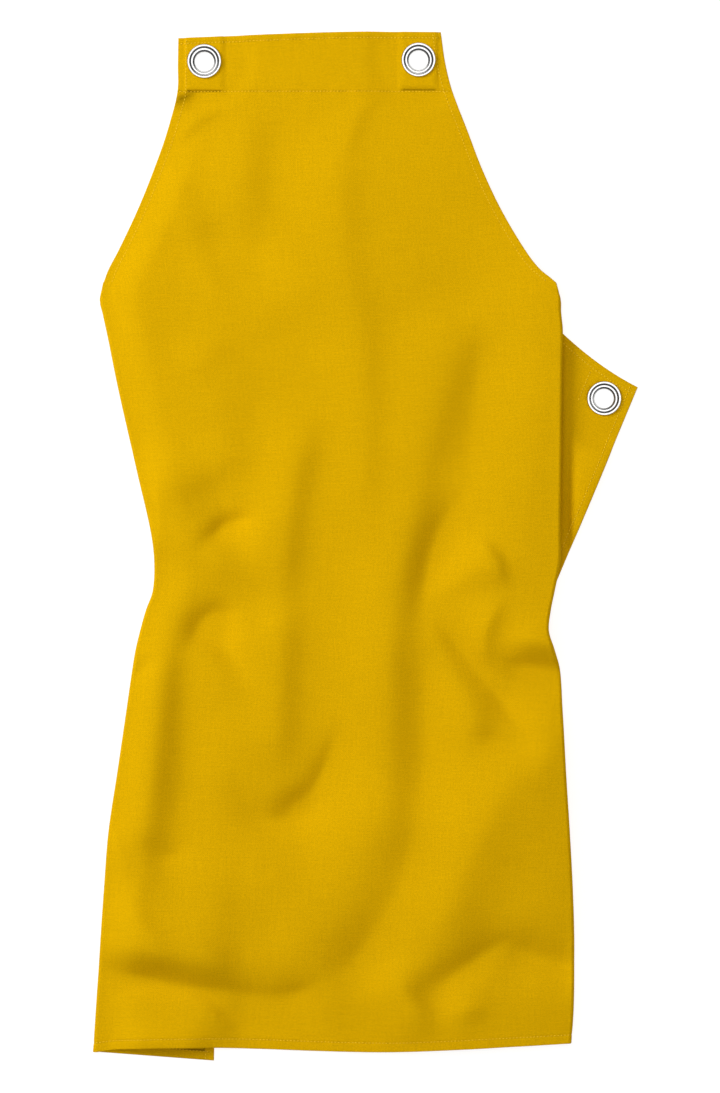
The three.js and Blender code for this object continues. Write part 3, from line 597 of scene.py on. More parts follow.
def roll(upper, lower, reach, side):
    """Points of a roll of cloth from an upper layer's edge to a lower layer's. Side is -1 to the left."""
    share = (np.arange(1, ROLL_STEPS) / ROLL_STEPS)[None, :]
    turn = math.pi * share
    x = mix(upper[:, :1], lower[:, :1], share) + side * reach * np.sin(turn)
    y = mix(upper[:, 1:2], lower[:, 1:2], share)
    middle = (upper[:, 2:] + lower[:, 2:]) / 2
    z = middle + (upper[:, 2:] - lower[:, 2:]) / 2 * np.cos(turn)
    return np.stack([x, y, z], axis=2)


class ApronSheet:
    """The laid cloth as a grid: rows from the hem up, columns from the hidden panel's edge to the flap's.

    For the front, the panel and the flap, at holds the distances along each row and length that of the
    whole row. The two sides of the cloth, its normals and the shade painted into its creases are grids too.
    """

    def __init__(self, sizes):
        self.sizes = {key: getattr(sizes, key) / MM for key in LENGTHS}
        self.at = {}
        self.length = {}
        self.lay_rows()
        self.lay_sections()
        self.thicken()

    def lay_rows(self):
        """Heights of the rows, close together at the edges and the band. The first ones are folded under."""
        skirt = spaced(HEM + EDGE_STOPS[-1], FOLD_TOP - EDGE_STOPS[-1], ROW_STEP)
        bib = spaced(FOLD_TOP, BAND_FOOT + SEAM_STOPS[0], BIB_ROW_STEP)
        band = spaced(BAND_FOOT + SEAM_STOPS[-1], TOP - EDGE_STOPS[-1], BIB_ROW_STEP)
        under = [HEM + EDGE_STOPS, skirt, FOLD_TOP - EDGE_STOPS[::-1]]
        over = [bib, BAND_FOOT + SEAM_STOPS, band, TOP - EDGE_STOPS[::-1]]
        self.rows = np.concatenate(under + over)
        self.folded = sum(len(part) for part in under)

    def hemmed_places(self, length, columns):
        """Distances along each row from a roll to a hemmed edge."""
        plain = length - EDGE_STOPS[-1]
        inner = np.linspace(0, 1, columns)[None, :] * plain[:, None]
        return np.concatenate([inner, length[:, None] - EDGE_STOPS[None, -2::-1]], axis=1)

    def layer(self, name, start, end, bow, columns, level):
        """Points of a folded layer from its roll to its hemmed edge."""
        length = np.hypot(*(end - start).T)
        at = self.hemmed_places(length, columns)
        self.at[name] = at
        self.length[name] = length
        share = at / length[:, None]
        x = mix(start[:, :1], end[:, :1], share)
        y = mix(start[:, 1:], end[:, 1:], share) + 4 * bow[:, None] * share * (1 - share)
        return np.stack([x, y, level(x, y)], axis=2)

    def lay_front(self):
        """Points of the front, from its left edge or roll to its right one."""
        y = self.rows
        turned = ease((FOLD_TOP - y) / HEM_WIDTH)
        inset = (SIDE_FOLD_REACH + self.sizes["thickness"] / 2) * turned
        left = read_table(OUTLINE, 1, y) + inset
        width = read_table(OUTLINE, 2, y) - inset - left
        middle = np.linspace(0, 1, FRONT_COLUMNS + 1)[None, 1:-1]
        inner = mix(EDGE_STOPS[-1], width[:, None] - EDGE_STOPS[-1], middle)
        near = np.broadcast_to(EDGE_STOPS, (len(y), len(EDGE_STOPS)))
        self.at["front"] = np.concatenate([near, inner, width[:, None] - near[:, ::-1]], axis=1)
        self.length["front"] = width
        x = left[:, None] + self.at["front"]
        row_y = row_height(x, y[:, None])
        return np.stack([x, row_y, self.emboss(x, row_y, front_level(x, row_y))], axis=2)

    def lay_sections(self):
        """The front, the layers folded under it on either side, and the rolls that join them."""
        front = self.lay_front()
        y = self.rows[:self.folded]
        up = (y - HEM) / (FOLD_TOP - HEM)
        drop = FOLD_DROP * ease((y - FOLD_TOP + DROP_FADE) / DROP_FADE)
        bow = ease((up - ARMHOLE_BOW_START) / (1 - ARMHOLE_BOW_START))
        reach = SIDE_FOLD_REACH * ease((FOLD_TOP - y) / HEM_WIDTH)[:, None]
        first, last = front[:self.folded, 0], front[:self.folded, -1]

        start = np.stack([first[:, 0], first[:, 1] - drop], axis=1)
        end_y = mix(PANEL_HEM_CORNER[1], PANEL_CORNER[1], up)
        end = np.stack([panel_edge(end_y), end_y], axis=1)
        panel = self.layer("panel", start, end, PANEL_BOW * bow, PANEL_COLUMNS, panel_level)
        left_roll = roll(first, panel[:, 0], reach, -1)

        pleat_y = mix(PLEAT_FOOT[1], PLEAT_TOP[1], up)
        pleat_x = pleat_line(pleat_y) + PLEAT_FOLD_REACH + self.sizes["thickness"] / 2
        share = np.linspace(0, 1, PLEAT_COLUMNS + 1)[None, :]
        px = mix(last[:, :1], pleat_x[:, None], share)
        py = mix(last[:, 1:2] - drop[:, None], pleat_y[:, None], share)
        pleat = np.stack([px, py, pleat_level(px, py)], axis=2)
        right_roll = roll(last, pleat[:, 0], reach, 1)

        start = np.stack([pleat_x, pleat_y - PLEAT_FOLD_REACH], axis=1)
        end_y = mix(FLAP_FOOT_Y, FLAP_CORNER[1], up)
        end = np.stack([flap_edge(end_y), end_y], axis=1)
        flap = self.layer("flap", start, end, FLAP_BOW * bow, FLAP_COLUMNS, flap_level)
        pleat_roll = roll(pleat[:, -1], flap[:, 0], PLEAT_FOLD_REACH, -1)

        # The panel's distances start at its hemmed edge, as its columns do.
        self.at["panel"] = self.length["panel"][:, None] - self.at["panel"][:, ::-1]
        self.join({
            "panel": panel[:, ::-1],
            "left_roll": left_roll[:, ::-1],
            "front": front,
            "right_roll": right_roll,
            "pleat": pleat,
            "pleat_roll": pleat_roll,
            "flap": flap,
        })

    def join(self, sections):
        """One grid of points from all the sections. It is empty beside the front above the folds."""
        ends = np.cumsum([part.shape[1] for part in sections.values()])
        self.columns = {}
        self.middle = np.full((len(self.rows), ends[-1], 3), np.nan)
        for (name, part), end in zip(sections.items(), ends):
            self.columns[name] = slice(end - part.shape[1], end)
            self.middle[:len(part), self.columns[name]] = part

    def emboss(self, x, y, level):
        """The front's level, lower round a bib eyelet where it has no patch behind, with small folds."""
        for name in BIB_CORNERS:
            mx, my = eyelet_middle(name)
            inside = ease((PATCH_HALF - abs(x - mx)) / PATCH_SLOPE + 1)
            inside *= ease((y - my + PATCH_FROM_EDGE) / PATCH_SLOPE + 1)
            level = level - self.sizes["patch_step"] * pad_share(name, x, y) * (1 - inside)
            level = level - PATCH_SLIT * patch_slit(name, x, y)
        return level + fold_height(PAD_FOLDS, x, y)

    def edge_distances(self):
        """How far each place is from the hem, the top, the armholes and the side edges."""
        y = np.broadcast_to(self.rows[:, None], self.middle.shape[:2])
        far = np.full(y.shape, np.inf)
        found = {"hem": y - HEM, "top": far.copy(), "armhole": FOLD_TOP - y, "side": far.copy()}
        front = self.columns["front"]
        side = np.minimum(self.at["front"], self.length["front"][:, None] - self.at["front"])
        below = np.maximum(FOLD_TOP - y[:, front], 0)
        found["armhole"][:, front] = np.hypot(side, below)
        found["top"][:, front] = TOP - y[:, front]
        found["side"][:self.folded, self.columns["panel"]] = self.at["panel"]
        found["side"][:self.folded, self.columns["flap"]] = self.length["flap"][:, None] - self.at["flap"]
        return found

    def pucker(self, along):
        """An uneven wave along a seam, from -1 to 1."""
        turn = 2 * math.pi * along / self.sizes["pucker_length"]
        short = np.sin(turn + PUCKER_DRIFT * np.sin(turn / PUCKER_DRIFT_LENGTH))
        return mix(np.sin(turn / PUCKER_LONG_LENGTH + PUCKER_LONG_START), short, PUCKER_SHARE)

    def seam_lines(self, edges):
        """How far each place is from each seam, where along it, and how deep its thread lies."""
        s = self.sizes
        x, y = self.middle[..., 0], self.middle[..., 1]
        above_band = self.rows[:, None] - BAND_FOOT - BAND_SEAM
        return (
            (edges["hem"] - s["hem_seam_inset"], x, HEM_SEAM_DEPTH),
            (edges["top"] - s["top_seam_inset"], x, TOP_SEAM_DEPTH),
            (edges["armhole"] - s["seam_inset"], y, SIDE_SEAM_DEPTH),
            (edges["side"] - s["seam_inset"], y, SIDE_SEAM_DEPTH),
            (np.where(np.isfinite(edges["top"]), above_band, np.inf), x, TOP_SEAM_DEPTH),
        )

    def seam_relief(self, edges):
        """What seams do to the right side: a groove under the thread, and puckers about it."""
        relief = np.zeros(self.middle.shape[:2])
        for away, along, depth in self.seam_lines(edges):
            relief -= depth * self.sizes["groove_depth"] * bell(away, GROOVE_WIDTH)
            relief += self.sizes["pucker_height"] * self.pucker(along) * bell(away, PUCKER_WIDTH)
        return relief

    def seam_shade(self, edges, hems):
        """How deep each place lies in a crease, from 0 to 1, as painted shade for the canvas: on the right
        side and on the wrong side.
        """
        x, y = self.middle[..., 0], self.middle[..., 1]
        seams = np.zeros(x.shape)
        for away, along, depth in self.seam_lines(edges):
            seams += depth * SEAM_SHADE * (1 + self.pucker(along)) / 2 * bell(away, GROOVE_WIDTH)
        slits = sum(patch_slit(name, x, y) for name in BIB_CORNERS)
        notch = np.clip(-fold_height(PAD_FOLDS, x, y) / NOTCH_DEPTH, 0, 1) ** 2
        turned_edge = bell(hems - HEM_WIDTH, GROOVE_WIDTH)
        return np.clip(seams + slits + notch, 0, 1), np.clip(seams + turned_edge, 0, 1)

    def thicken(self):
        """The right side, the wrong side and the normals of the cloth."""
        edges = self.edge_distances()
        hems = np.minimum(np.minimum(edges["hem"], edges["armhole"]), edges["side"])
        free = np.minimum(hems, edges["top"])
        x, y = self.middle[..., 0], self.middle[..., 1]
        pads = np.maximum.reduce([pad_share(corner[0], x, y) for corner in CORNERS])
        hem = HEM_EXTRA * ease((HEM_WIDTH - hems) / HEM_STEP)
        band = BAND_EXTRA * ease((self.rows[:, None] - BAND_FOOT) / HEM_STEP)
        extra = np.maximum(hem, band) * (1 - pads)
        half = self.sizes["thickness"] / 2
        bevel = np.clip(free / EDGE_ROUND, 0, 1)
        thick = half * np.sqrt(EDGE_LEAST + (1 - EDGE_LEAST) * (1 - (1 - bevel) ** 2))
        self.normals = self.grid_normals()
        relief = self.seam_relief(edges) * (1 - pads * PAD_CALM)
        self.shade = self.seam_shade(edges, hems)
        self.right = self.middle + self.normals * (thick + relief)[..., None]
        self.wrong = self.middle - self.normals * (thick + extra * bevel)[..., None]

    def grid_normals(self):
        """Normals of the grid's points, and which of its quads are there."""
        here = ~np.isnan(self.middle[..., 0])
        self.present = here[:-1, :-1] & here[1:, :-1] & here[:-1, 1:] & here[1:, 1:]
        a, b = self.middle[:-1, :-1], self.middle[:-1, 1:]
        d, c = self.middle[1:, :-1], self.middle[1:, 1:]
        faces = np.where(self.present[..., None], np.cross(c - a, d - b), 0)
        total = np.zeros(self.middle.shape)
        for rows in BOTH_ENDS:
            for columns in BOTH_ENDS:
                total[rows, columns] += faces
        return total / np.maximum(np.linalg.norm(total, axis=2, keepdims=True), LEAST)

    def cut_holes(self):
        """Leaves out the cloth inside each eyelet and draws the edge of the hole round."""
        for name, section, _, _ in CORNERS:
            middle = np.array(eyelet_middle(name))
            columns = self.columns[section]
            away = np.full(self.middle.shape[:2], np.inf)
            away[:, columns] = np.linalg.norm(self.middle[:, columns, :2] - middle, axis=2)
            nearest = np.fmin.reduce([away[rows, across] for rows in BOTH_ENDS for across in BOTH_ENDS])
            cut = nearest < CLOTH_HOLE
            corner = np.zeros(away.shape, bool)
            for rows in BOTH_ENDS:
                for across in BOTH_ENDS:
                    corner[rows, across] |= cut
            rim = corner & (away >= CLOTH_HOLE)
            for side in (self.right, self.wrong):
                ways = side[rim][:, :2] - middle
                ways *= (CLOTH_HOLE / np.linalg.norm(ways, axis=1))[:, None]
                side[rim, :2] = middle + ways
            self.present &= ~cut

    def uv(self):
        """Places on the flat cloth: along the row from the middle of the front, and up from the hem."""
        steps = np.linalg.norm(np.diff(self.middle, axis=1), axis=2)
        along = np.concatenate([np.zeros((len(self.rows), 1)), np.nancumsum(steps, axis=1)], axis=1)
        front = self.columns["front"]
        along -= along[:, [(front.start + front.stop) // 2]]
        return np.stack([along, np.broadcast_to(self.rows[:, None], along.shape)], axis=2)

    def on_side(self, section, y, at, wrong):
        """Points and outward normals on one side of the cloth, at heights and distances along the row."""
        columns = self.columns[section]
        table = self.at[section]
        side = self.wrong if wrong else self.right
        place = np.interp(y, self.rows[:len(table)], np.arange(len(table)))
        low = np.minimum(place.astype(int), len(table) - 2)
        points, normals = [], []
        for r, share, distance in zip(low, place - low, at):
            across = mix(table[r], table[r + 1], share)
            c = np.interp(distance, across, np.arange(len(across)))
            j = min(int(c), len(across) - 2)
            corners = [(r, j, (1 - share) * (1 - c + j)), (r, j + 1, (1 - share) * (c - j)),
                       (r + 1, j, share * (1 - c + j)), (r + 1, j + 1, share * (c - j))]
            points.append(sum(w * side[i, columns.start + k] for i, k, w in corners))
            normals.append(sum(w * self.normals[i, columns.start + k] for i, k, w in corners))
        return np.array(points), np.array(normals) * (-1 if wrong else 1)


def add_node(tree, kind, inputs=None, **settings):
    """A node with its settings, and with values or links on its inputs."""
    node = tree.nodes.new(kind)
    for key, value in settings.items():
        setattr(node, key, value)
    for key, value in (inputs or {}).items():
        if isinstance(value, bpy.types.NodeSocket):
            tree.links.new(value, node.inputs[key])
        else:
            node.inputs[key].default_value = value
    return node


def new_material(name):
    """An empty material and its shader and tree."""
    material = bpy.data.materials.new(name)
    material.use_nodes = True
    tree = material.node_tree
    tree.nodes.clear()
    shader = add_node(tree, "ShaderNodeBsdfPrincipled")
    add_node(tree, "ShaderNodeOutputMaterial", {"Surface": shader.outputs[0]})
    return material, tree, shader


def vary_colour(tree, shader, pattern, low, high, colour):
    """Base colour of a shader, lighter and darker with a pattern."""
    tone = add_node(tree, "ShaderNodeMapRange", {"Value": pattern, "To Min": low, "To Max": high})
    varied = add_node(tree, "ShaderNodeHueSaturation", {"Value": tone.outputs[0], "Color": (*colour, 1)})
    tree.links.new(varied.outputs[0], shader.inputs["Base Color"])


def set_finish(shader, finish):
    """Plain values on a shader's inputs."""
    for name, value in finish.items():
        shader.inputs[name].default_value = value


def cotton_canvas(settings):
    """Dyed cotton canvas, plain woven: matt, with a soft nap, and threads uneven in thickness and dye."""
    found = bpy.data.materials.get("dyed_cotton_canvas")
    if found:
        return found
    material, tree, shader = new_material("dyed_cotton_canvas")
    cloth_uv = add_node(tree, "ShaderNodeUVMap", uv_map="flat_cloth").outputs[0]
    # The real threads are about 0.5 mm apart. They are drawn coarser, so that they show at all.
    turns = math.pi / settings.thread_spacing
    split = add_node(tree, "ShaderNodeSeparateXYZ", {0: cloth_uv})
    waves = []
    for axis in (0, 1):
        angle = add_node(tree, "ShaderNodeMath", {0: split.outputs[axis], 1: turns}, operation="MULTIPLY")
        waves.append(add_node(tree, "ShaderNodeMath", {0: angle.outputs[0]}, operation="SINE").outputs[0])
    weave = add_node(tree, "ShaderNodeMath", {0: waves[0], 1: waves[1]}, operation="MULTIPLY").outputs[0]
    slubs = []
    for stretch in ((1.0, SLUB_STRETCH, 1.0), (SLUB_STRETCH, 1.0, 1.0)):
        place = add_node(tree, "ShaderNodeMapping", {"Vector": cloth_uv, "Scale": stretch})
        noise = {"Vector": place.outputs[0], "Scale": 1 / SLUB_WIDTH, "Detail": 2.0, "Roughness": 0.6}
        slubs.append(add_node(tree, "ShaderNodeTexNoise", noise).outputs[0])
    threads = add_node(tree, "ShaderNodeMath", {0: slubs[0], 1: slubs[1]}, operation="ADD").outputs[0]
    noise = {"Vector": cloth_uv, "Scale": 1 / GRAIN_WIDTH, "Detail": 3.0, "Roughness": 0.65}
    grain = add_node(tree, "ShaderNodeTexNoise", noise).outputs[0]
    noise = {"Vector": cloth_uv, "Scale": 1 / DYE_PATCH, "Detail": 2.0}
    dye = add_node(tree, "ShaderNodeTexNoise", noise).outputs[0]
    crease = add_node(tree, "ShaderNodeAttribute", attribute_name="crease").outputs["Fac"]
    # Painted shade: the canvas is darkened in seams, slits and at the foot of a turned edge, where little
    # light reaches.
    value = 1 - SLUB_TINT
    for source, tint, centre in (
        (threads, SLUB_TINT, 0.0),
        (grain, GRAIN_TINT, NOISE_MIDDLE),
        (dye, DYE_TINT, NOISE_MIDDLE),
        (weave, WEAVE_TINT, 0.0),
        (crease, -CREASE_SHADE, 0.0),
    ):
        even = add_node(tree, "ShaderNodeMath", {0: source, 1: centre}, operation="SUBTRACT").outputs[0]
        shares = {0: even, 1: tint, 2: value}
        value = add_node(tree, "ShaderNodeMath", shares, operation="MULTIPLY_ADD").outputs[0]
    dyed = {"Value": value, "Color": (*settings.canvas_colour, 1)}
    colour = add_node(tree, "ShaderNodeHueSaturation", dyed)
    tree.links.new(colour.outputs[0], shader.inputs["Base Color"])
    shares = {0: threads, 1: SLUB_BUMP, 2: weave}
    height = add_node(tree, "ShaderNodeMath", shares, operation="MULTIPLY_ADD").outputs[0]
    relief = settings.thread_spacing * WEAVE_RELIEF
    woven = {"Height": height, "Strength": WEAVE_STRENGTH, "Distance": relief}
    bump = add_node(tree, "ShaderNodeBump", woven)
    tree.links.new(bump.outputs[0], shader.inputs["Normal"])
    rough = add_node(tree, "ShaderNodeMapRange", {"Value": grain, "To Min": 0.78, "To Max": 0.92})
    tree.links.new(rough.outputs[0], shader.inputs["Roughness"])
    set_finish(shader, {
        "Specular IOR Level": 0.0,
        "Sheen Weight": 0.04,
        "Sheen Roughness": 0.45,
        "Sheen Tint": (*settings.nap_colour, 1),
    })
    return material


def spun_thread(settings):
    """Spun sewing thread: two plies twisted together, a little paler and glossier than the canvas."""
    material, tree, shader = new_material("spun_sewing_thread")
    place = add_node(tree, "ShaderNodeTexCoord").outputs["Object"]
    # The plies are about 0.25 mm wide, drawn here at twice that.
    twist = {"Vector": place, "Scale": 1 / (2 * math.pi * PLY_WIDTH), "Distortion": 1.5}
    plies = add_node(tree, "ShaderNodeTexWave", twist, bands_direction="DIAGONAL").outputs["Fac"]
    vary_colour(tree, shader, plies, 0.86, 1.08, settings.thread_colour)
    bump = add_node(tree, "ShaderNodeBump", {"Height": plies, "Strength": 0.3, "Distance": PLY_RELIEF})
    tree.links.new(bump.outputs[0], shader.inputs["Normal"])
    set_finish(shader, {"Roughness": 0.7, "Specular IOR Level": 0.1})
    return material


def polished_nickel(settings):
    """Nickel-plated brass, stamped and polished: a bright mirror with faint rubbing and dull spots."""
    material, tree, shader = new_material("polished_nickel_plate")
    place = add_node(tree, "ShaderNodeTexCoord").outputs["Object"]
    noise = {"Vector": place, "Scale": 1 / DULL_SPOT, "Detail": 3.0}
    spots = add_node(tree, "ShaderNodeTexNoise", noise).outputs[0]
    polish = settings.nickel_roughness
    rough = add_node(tree, "ShaderNodeMapRange", {"Value": spots, "To Min": polish, "To Max": 2 * polish})
    tree.links.new(rough.outputs[0], shader.inputs["Roughness"])
    noise = {"Vector": place, "Scale": 1 / RUBBING_MARK, "Detail": 2.0}
    rubbed = add_node(tree, "ShaderNodeTexNoise", noise).outputs[0]
    marks = {"Height": rubbed, "Strength": 0.01, "Distance": RUBBING_RELIEF}
    bump = add_node(tree, "ShaderNodeBump", marks)
    tree.links.new(bump.outputs[0], shader.inputs["Normal"])
    vary_colour(tree, shader, spots, 0.94, 1.04, settings.nickel_colour)
    set_finish(shader, {"Metallic": 1.0})
    return material


def painted_glow_floor(settings):
    """A matt white floor, very slightly uneven, with a faint painted glow of its own that lightens the
    shadows cast on it.
    """
    material, tree, shader = new_material("painted_glow_floor")
    place = add_node(tree, "ShaderNodeTexCoord").outputs["Object"]
    noise = {"Vector": place, "Scale": 1 / ACRYLIC_CLOUD, "Detail": 3.0}
    cloud = add_node(tree, "ShaderNodeTexNoise", noise).outputs[0]
    vary_colour(tree, shader, cloud, 0.99, 1.01, settings.floor_colour)
    set_finish(shader, {
        "Roughness": 0.9,
        "Specular IOR Level": 0.1,
        # Painted light: the floor glows though no lamp is behind it, lightening the shadows on it and
        # lighting the cloth from beneath.
        "Emission Color": (1, 1, 1, 1),
        "Emission Strength": settings.floor_glow,
    })
    return material


def new_piece(name, points, faces, material, flat=None):
    """A smooth mesh object from points in millimetres, with the places of its flat cloth if it has any."""
    mesh = bpy.data.meshes.new(name)
    mesh.from_pydata((np.asarray(points) * MM).tolist(), [], [list(map(int, face)) for face in faces])
    mesh.polygons.foreach_set("use_smooth", np.ones(len(mesh.polygons), bool))
    if flat is not None:
        layer = mesh.uv_layers.new(name="flat_cloth")
        corners = np.zeros(len(mesh.loops), np.int32)
        mesh.loops.foreach_get("vertex_index", corners)
        layer.data.foreach_set("uv", (np.asarray(flat)[corners] * MM).astype(np.float32).ravel())
    mesh.materials.append(material)
    mesh.update()
    piece = bpy.data.objects.new(name, mesh)
    bpy.context.scene.collection.objects.link(piece)
    return piece


def wall_faces(quads, count):
    """Quads of a closed wall: the right side, the wrong side behind it, and a strip along free edges."""
    pairs = np.concatenate([quads[:, [i, (i + 1) % 4]] for i in range(4)])
    keys = pairs[:, 0] * count + pairs[:, 1]
    back = pairs[:, 1] * count + pairs[:, 0]
    a, b = pairs[~np.isin(keys, back)].T
    rim = np.stack([a, a + count, b + count, b], axis=1)
    return np.concatenate([quads, quads[:, ::-1] + count, rim])


def cloth_piece(sheet, material):
    """The apron's cloth as one closed wall."""
    sheet.cut_holes()
    shape = sheet.middle.shape[:2]
    index = np.arange(shape[0] * shape[1]).reshape(shape)
    corners = (index[:-1, :-1], index[:-1, 1:], index[1:, 1:], index[1:, :-1])
    quads = np.stack([corner[sheet.present] for corner in corners], axis=1)
    used, quads = np.unique(quads, return_inverse=True)
    quads = quads.reshape(-1, 4)
    sides = [side.reshape(-1, 3)[used] for side in (sheet.right, sheet.wrong)]
    flat = sheet.uv().reshape(-1, 2)[used]
    faces = wall_faces(quads, len(used))
    piece = new_piece("apron_cloth", np.concatenate(sides), faces, material, np.concatenate([flat, flat]))
    # Painted shade: how deep each point lies in a crease, which the canvas reads to darken itself there.
    shade = np.concatenate([side.ravel()[used] for side in sheet.shade])
    crease = piece.data.attributes.new("crease", "FLOAT", "POINT")
    crease.data.foreach_set("value", shade.astype(np.float32))
    return piece


def rounded(profile):
    """A closed profile with its corners cut off, each time finer."""
    points = np.array(profile, float)
    for _ in range(CORNER_CUTS):
        ahead = np.roll(points, -1, axis=0)
        ends = [mix(points, ahead, CORNER_CUT), mix(points, ahead, 1 - CORNER_CUT)]
        points = np.stack(ends, axis=1).reshape(-1, 2)
    return points


def ring_points(profile, reach, segments):
    """Points and quads of a ring: a closed profile carried round an axis.

    Each point of the profile is a share of the way out and a height, and reach gives the inner and the
    outer place at an angle.
    """
    angles = np.linspace(0, 2 * math.pi, segments, endpoint=False)
    inner, outer = reach(angles)
    share = profile[None, :, :1]
    plan = mix(inner[:, None, :], outer[:, None, :], share)
    height = np.broadcast_to(profile[None, :, 1:], (*plan.shape[:2], 1))
    points = np.concatenate([plan, height], axis=2)
    index = np.arange(points.shape[0] * points.shape[1]).reshape(points.shape[:2])
    ahead, beside = np.roll(index, -1, axis=0), np.roll(index, -1, axis=1)
    both = np.roll(ahead, -1, axis=1)
    quads = np.stack([index, ahead, both, beside], axis=2).reshape(-1, 4)
    return points.reshape(-1, 3), quads


def outwards(points, quads):
    """The quads, turned round if they face into the solid."""
    a, b, c, d = (points[quads[:, i]] for i in range(4))
    volume = (a * np.cross(b, c)).sum() + (a * np.cross(c, d)).sum()
    return quads if volume > 0 else quads[:, ::-1]


def round_ways(angles):
    """Ways out from an axis at each angle."""
    return np.stack([np.cos(angles), np.sin(angles)], axis=1)


def turned_reach(angles):
    """The axis and a place 1 mm out from it, so that a share of the way out is a radius."""
    way = round_ways(angles)
    return 0 * way, way


def set_at_corner(points, quads, name, out, face_down):
    """A piece made round the origin, moved to its eyelet's place and turned over where the cloth is."""
    x, y, z = points.T
    if face_down:
        x, z = -x, STACK_TOP - z
    mx, my = eyelet_middle(name)
    placed = np.stack([mx + x * out[1] + y * out[0], my - x * out[0] + y * out[1], z], axis=1)
    return placed, outwards(placed, quads)


def ride_and_replace(piece, slot, *nodes):
    """Puts a piece on the apron's one body and hides the nodes that it stands for. The slot is not used."""
    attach(piece, BODY)
    if nodes:
        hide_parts(*nodes)


def patch_reach(angles):
    """The hole and the border of a patch at each angle, its long side towards +Y."""
    way = round_ways(angles)
    ends = np.where(way[:, 1] > 0, PATCH_TOWARDS_EDGE, PATCH_FROM_EDGE)
    limits = np.stack([np.full(len(angles), PATCH_HALF), ends], axis=1)
    border = way * (limits / np.maximum(abs(way), LEAST)).min(axis=1)[:, None]
    return PATCH_HOLE * way, border


def seam_paths(sheet):
    """The lines that are sewn: piece name, section, heights and distances along the row."""
    s = sheet.sizes
    up = np.arange(FOLD_TOP + ARMHOLE_SEAM_FOOT, TOP - SIDE_SEAM_END, SEAM_STEP)
    side = np.arange(HEM + SIDE_SEAM_END, FOLD_TOP - SIDE_SEAM_END, SEAM_STEP)
    patch = np.arange(*PATCH_SEAM_ROWS, SEAM_STEP)
    hem = HEM + s["hem_seam_inset"]
    armhole = FOLD_TOP - s["seam_inset"]

    def length_at(section, heights):
        lengths = sheet.length[section]
        return np.interp(heights, sheet.rows[:len(lengths)], lengths)

    def across(section, height, start=SEAM_END, stop=SEAM_END):
        at = np.arange(start, length_at(section, height) - stop, SEAM_STEP)
        return section, np.full(len(at), height), at

    return (
        ("bib_stitching", *across("front", TOP - s["top_seam_inset"])),
        ("bib_stitching", *across("front", BAND_FOOT + BAND_SEAM)),
        ("bib_stitching", "front", up, np.full(len(up), s["seam_inset"])),
        ("bib_stitching", "front", up, length_at("front", up) - s["seam_inset"]),
        ("hem_stitching", *across("front", hem, start=0.0, stop=0.0)),
        ("hem_stitching", *across("panel", hem, stop=0.0)),
        ("hem_stitching", *across("flap", hem, start=0.0)),
        ("side_stitching", *across("panel", armhole, stop=0.0)),
        ("side_stitching", *across("flap", armhole, start=0.0)),
        ("side_stitching", "panel", side, np.full(len(side), s["seam_inset"])),
        ("side_stitching", "flap", side, length_at("flap", side) - s["seam_inset"]),
        ("side_stitching", "flap", patch, length_at("flap", patch) - PATCH_SEAM),
    )


def stitch_tree(material):
    """A tree of nodes that lays stitches along sewn lines, each a short rounded bit of thread."""
    tree = bpy.data.node_groups.new("lay_stitches", "GeometryNodeTree")
    tree.is_modifier = True
    tree.interface.new_socket("Geometry", in_out="INPUT", socket_type="NodeSocketGeometry")
    for name in STITCH_INPUTS:
        kind = "NodeSocketInt" if name == "Seed" else "NodeSocketFloat"
        tree.interface.new_socket(name, in_out="INPUT", socket_type=kind)
    tree.interface.new_socket("Geometry", in_out="OUTPUT", socket_type="NodeSocketGeometry")
    given = add_node(tree, "NodeGroupInput").outputs
    line = add_node(tree, "GeometryNodeMeshToCurve", {0: given["Geometry"]})
    spacing = {"Curve": line.outputs[0], "Length": given["Pitch"]}
    places = add_node(tree, "GeometryNodeResampleCurve", spacing, mode="LENGTH")
    along = add_node(tree, "GeometryNodeInputTangent")
    up = add_node(tree, "GeometryNodeInputNamedAttribute", {"Name": "seam_up"}, data_type="FLOAT_VECTOR")
    axes = {"Primary Axis": along.outputs[0], "Secondary Axis": up.outputs[0]}
    turn = add_node(tree, "FunctionNodeAxesToRotation", axes, primary_axis="X", secondary_axis="Z")
    sides = {0: given["Length"], 1: given["Width"], 2: given["Height"]}
    size = add_node(tree, "ShaderNodeCombineXYZ", sides)
    form = {"Segments": STITCH_SEGMENTS, "Rings": STITCH_RINGS, "Radius": 0.5}
    stitch = add_node(tree, "GeometryNodeMeshUVSphere", form)
    laid = add_node(tree, "GeometryNodeInstanceOnPoints", {
        "Points": places.outputs[0],
        "Instance": stitch.outputs[0],
        "Rotation": turn.outputs[0],
        "Scale": size.outputs[0],
    })
    limits = {}
    for name, share in (("Min", 1 - SLANT_SPREAD), ("Max", 1 + SLANT_SPREAD)):
        limit = add_node(tree, "ShaderNodeMath", {0: given["Slant"], 1: share}, operation="MULTIPLY")
        limits[name] = limit.outputs[0]
    limits["Seed"] = given["Seed"]
    chance = add_node(tree, "FunctionNodeRandomValue", limits, data_type="FLOAT")
    slant = add_node(tree, "ShaderNodeCombineXYZ", {2: chance.outputs["Value"]})
    slants = {"Instances": laid.outputs[0], "Rotation": slant.outputs[0]}
    slanted = add_node(tree, "GeometryNodeRotateInstances", slants)
    solid = add_node(tree, "GeometryNodeRealizeInstances", {0: slanted.outputs[0]})
    smooth = add_node(tree, "GeometryNodeSetShadeSmooth", {0: solid.outputs[0]})
    dyed = add_node(tree, "GeometryNodeSetMaterial", {"Geometry": smooth.outputs[0], "Material": material})
    add_node(tree, "NodeGroupOutput", {0: dyed.outputs[0]})
    return tree


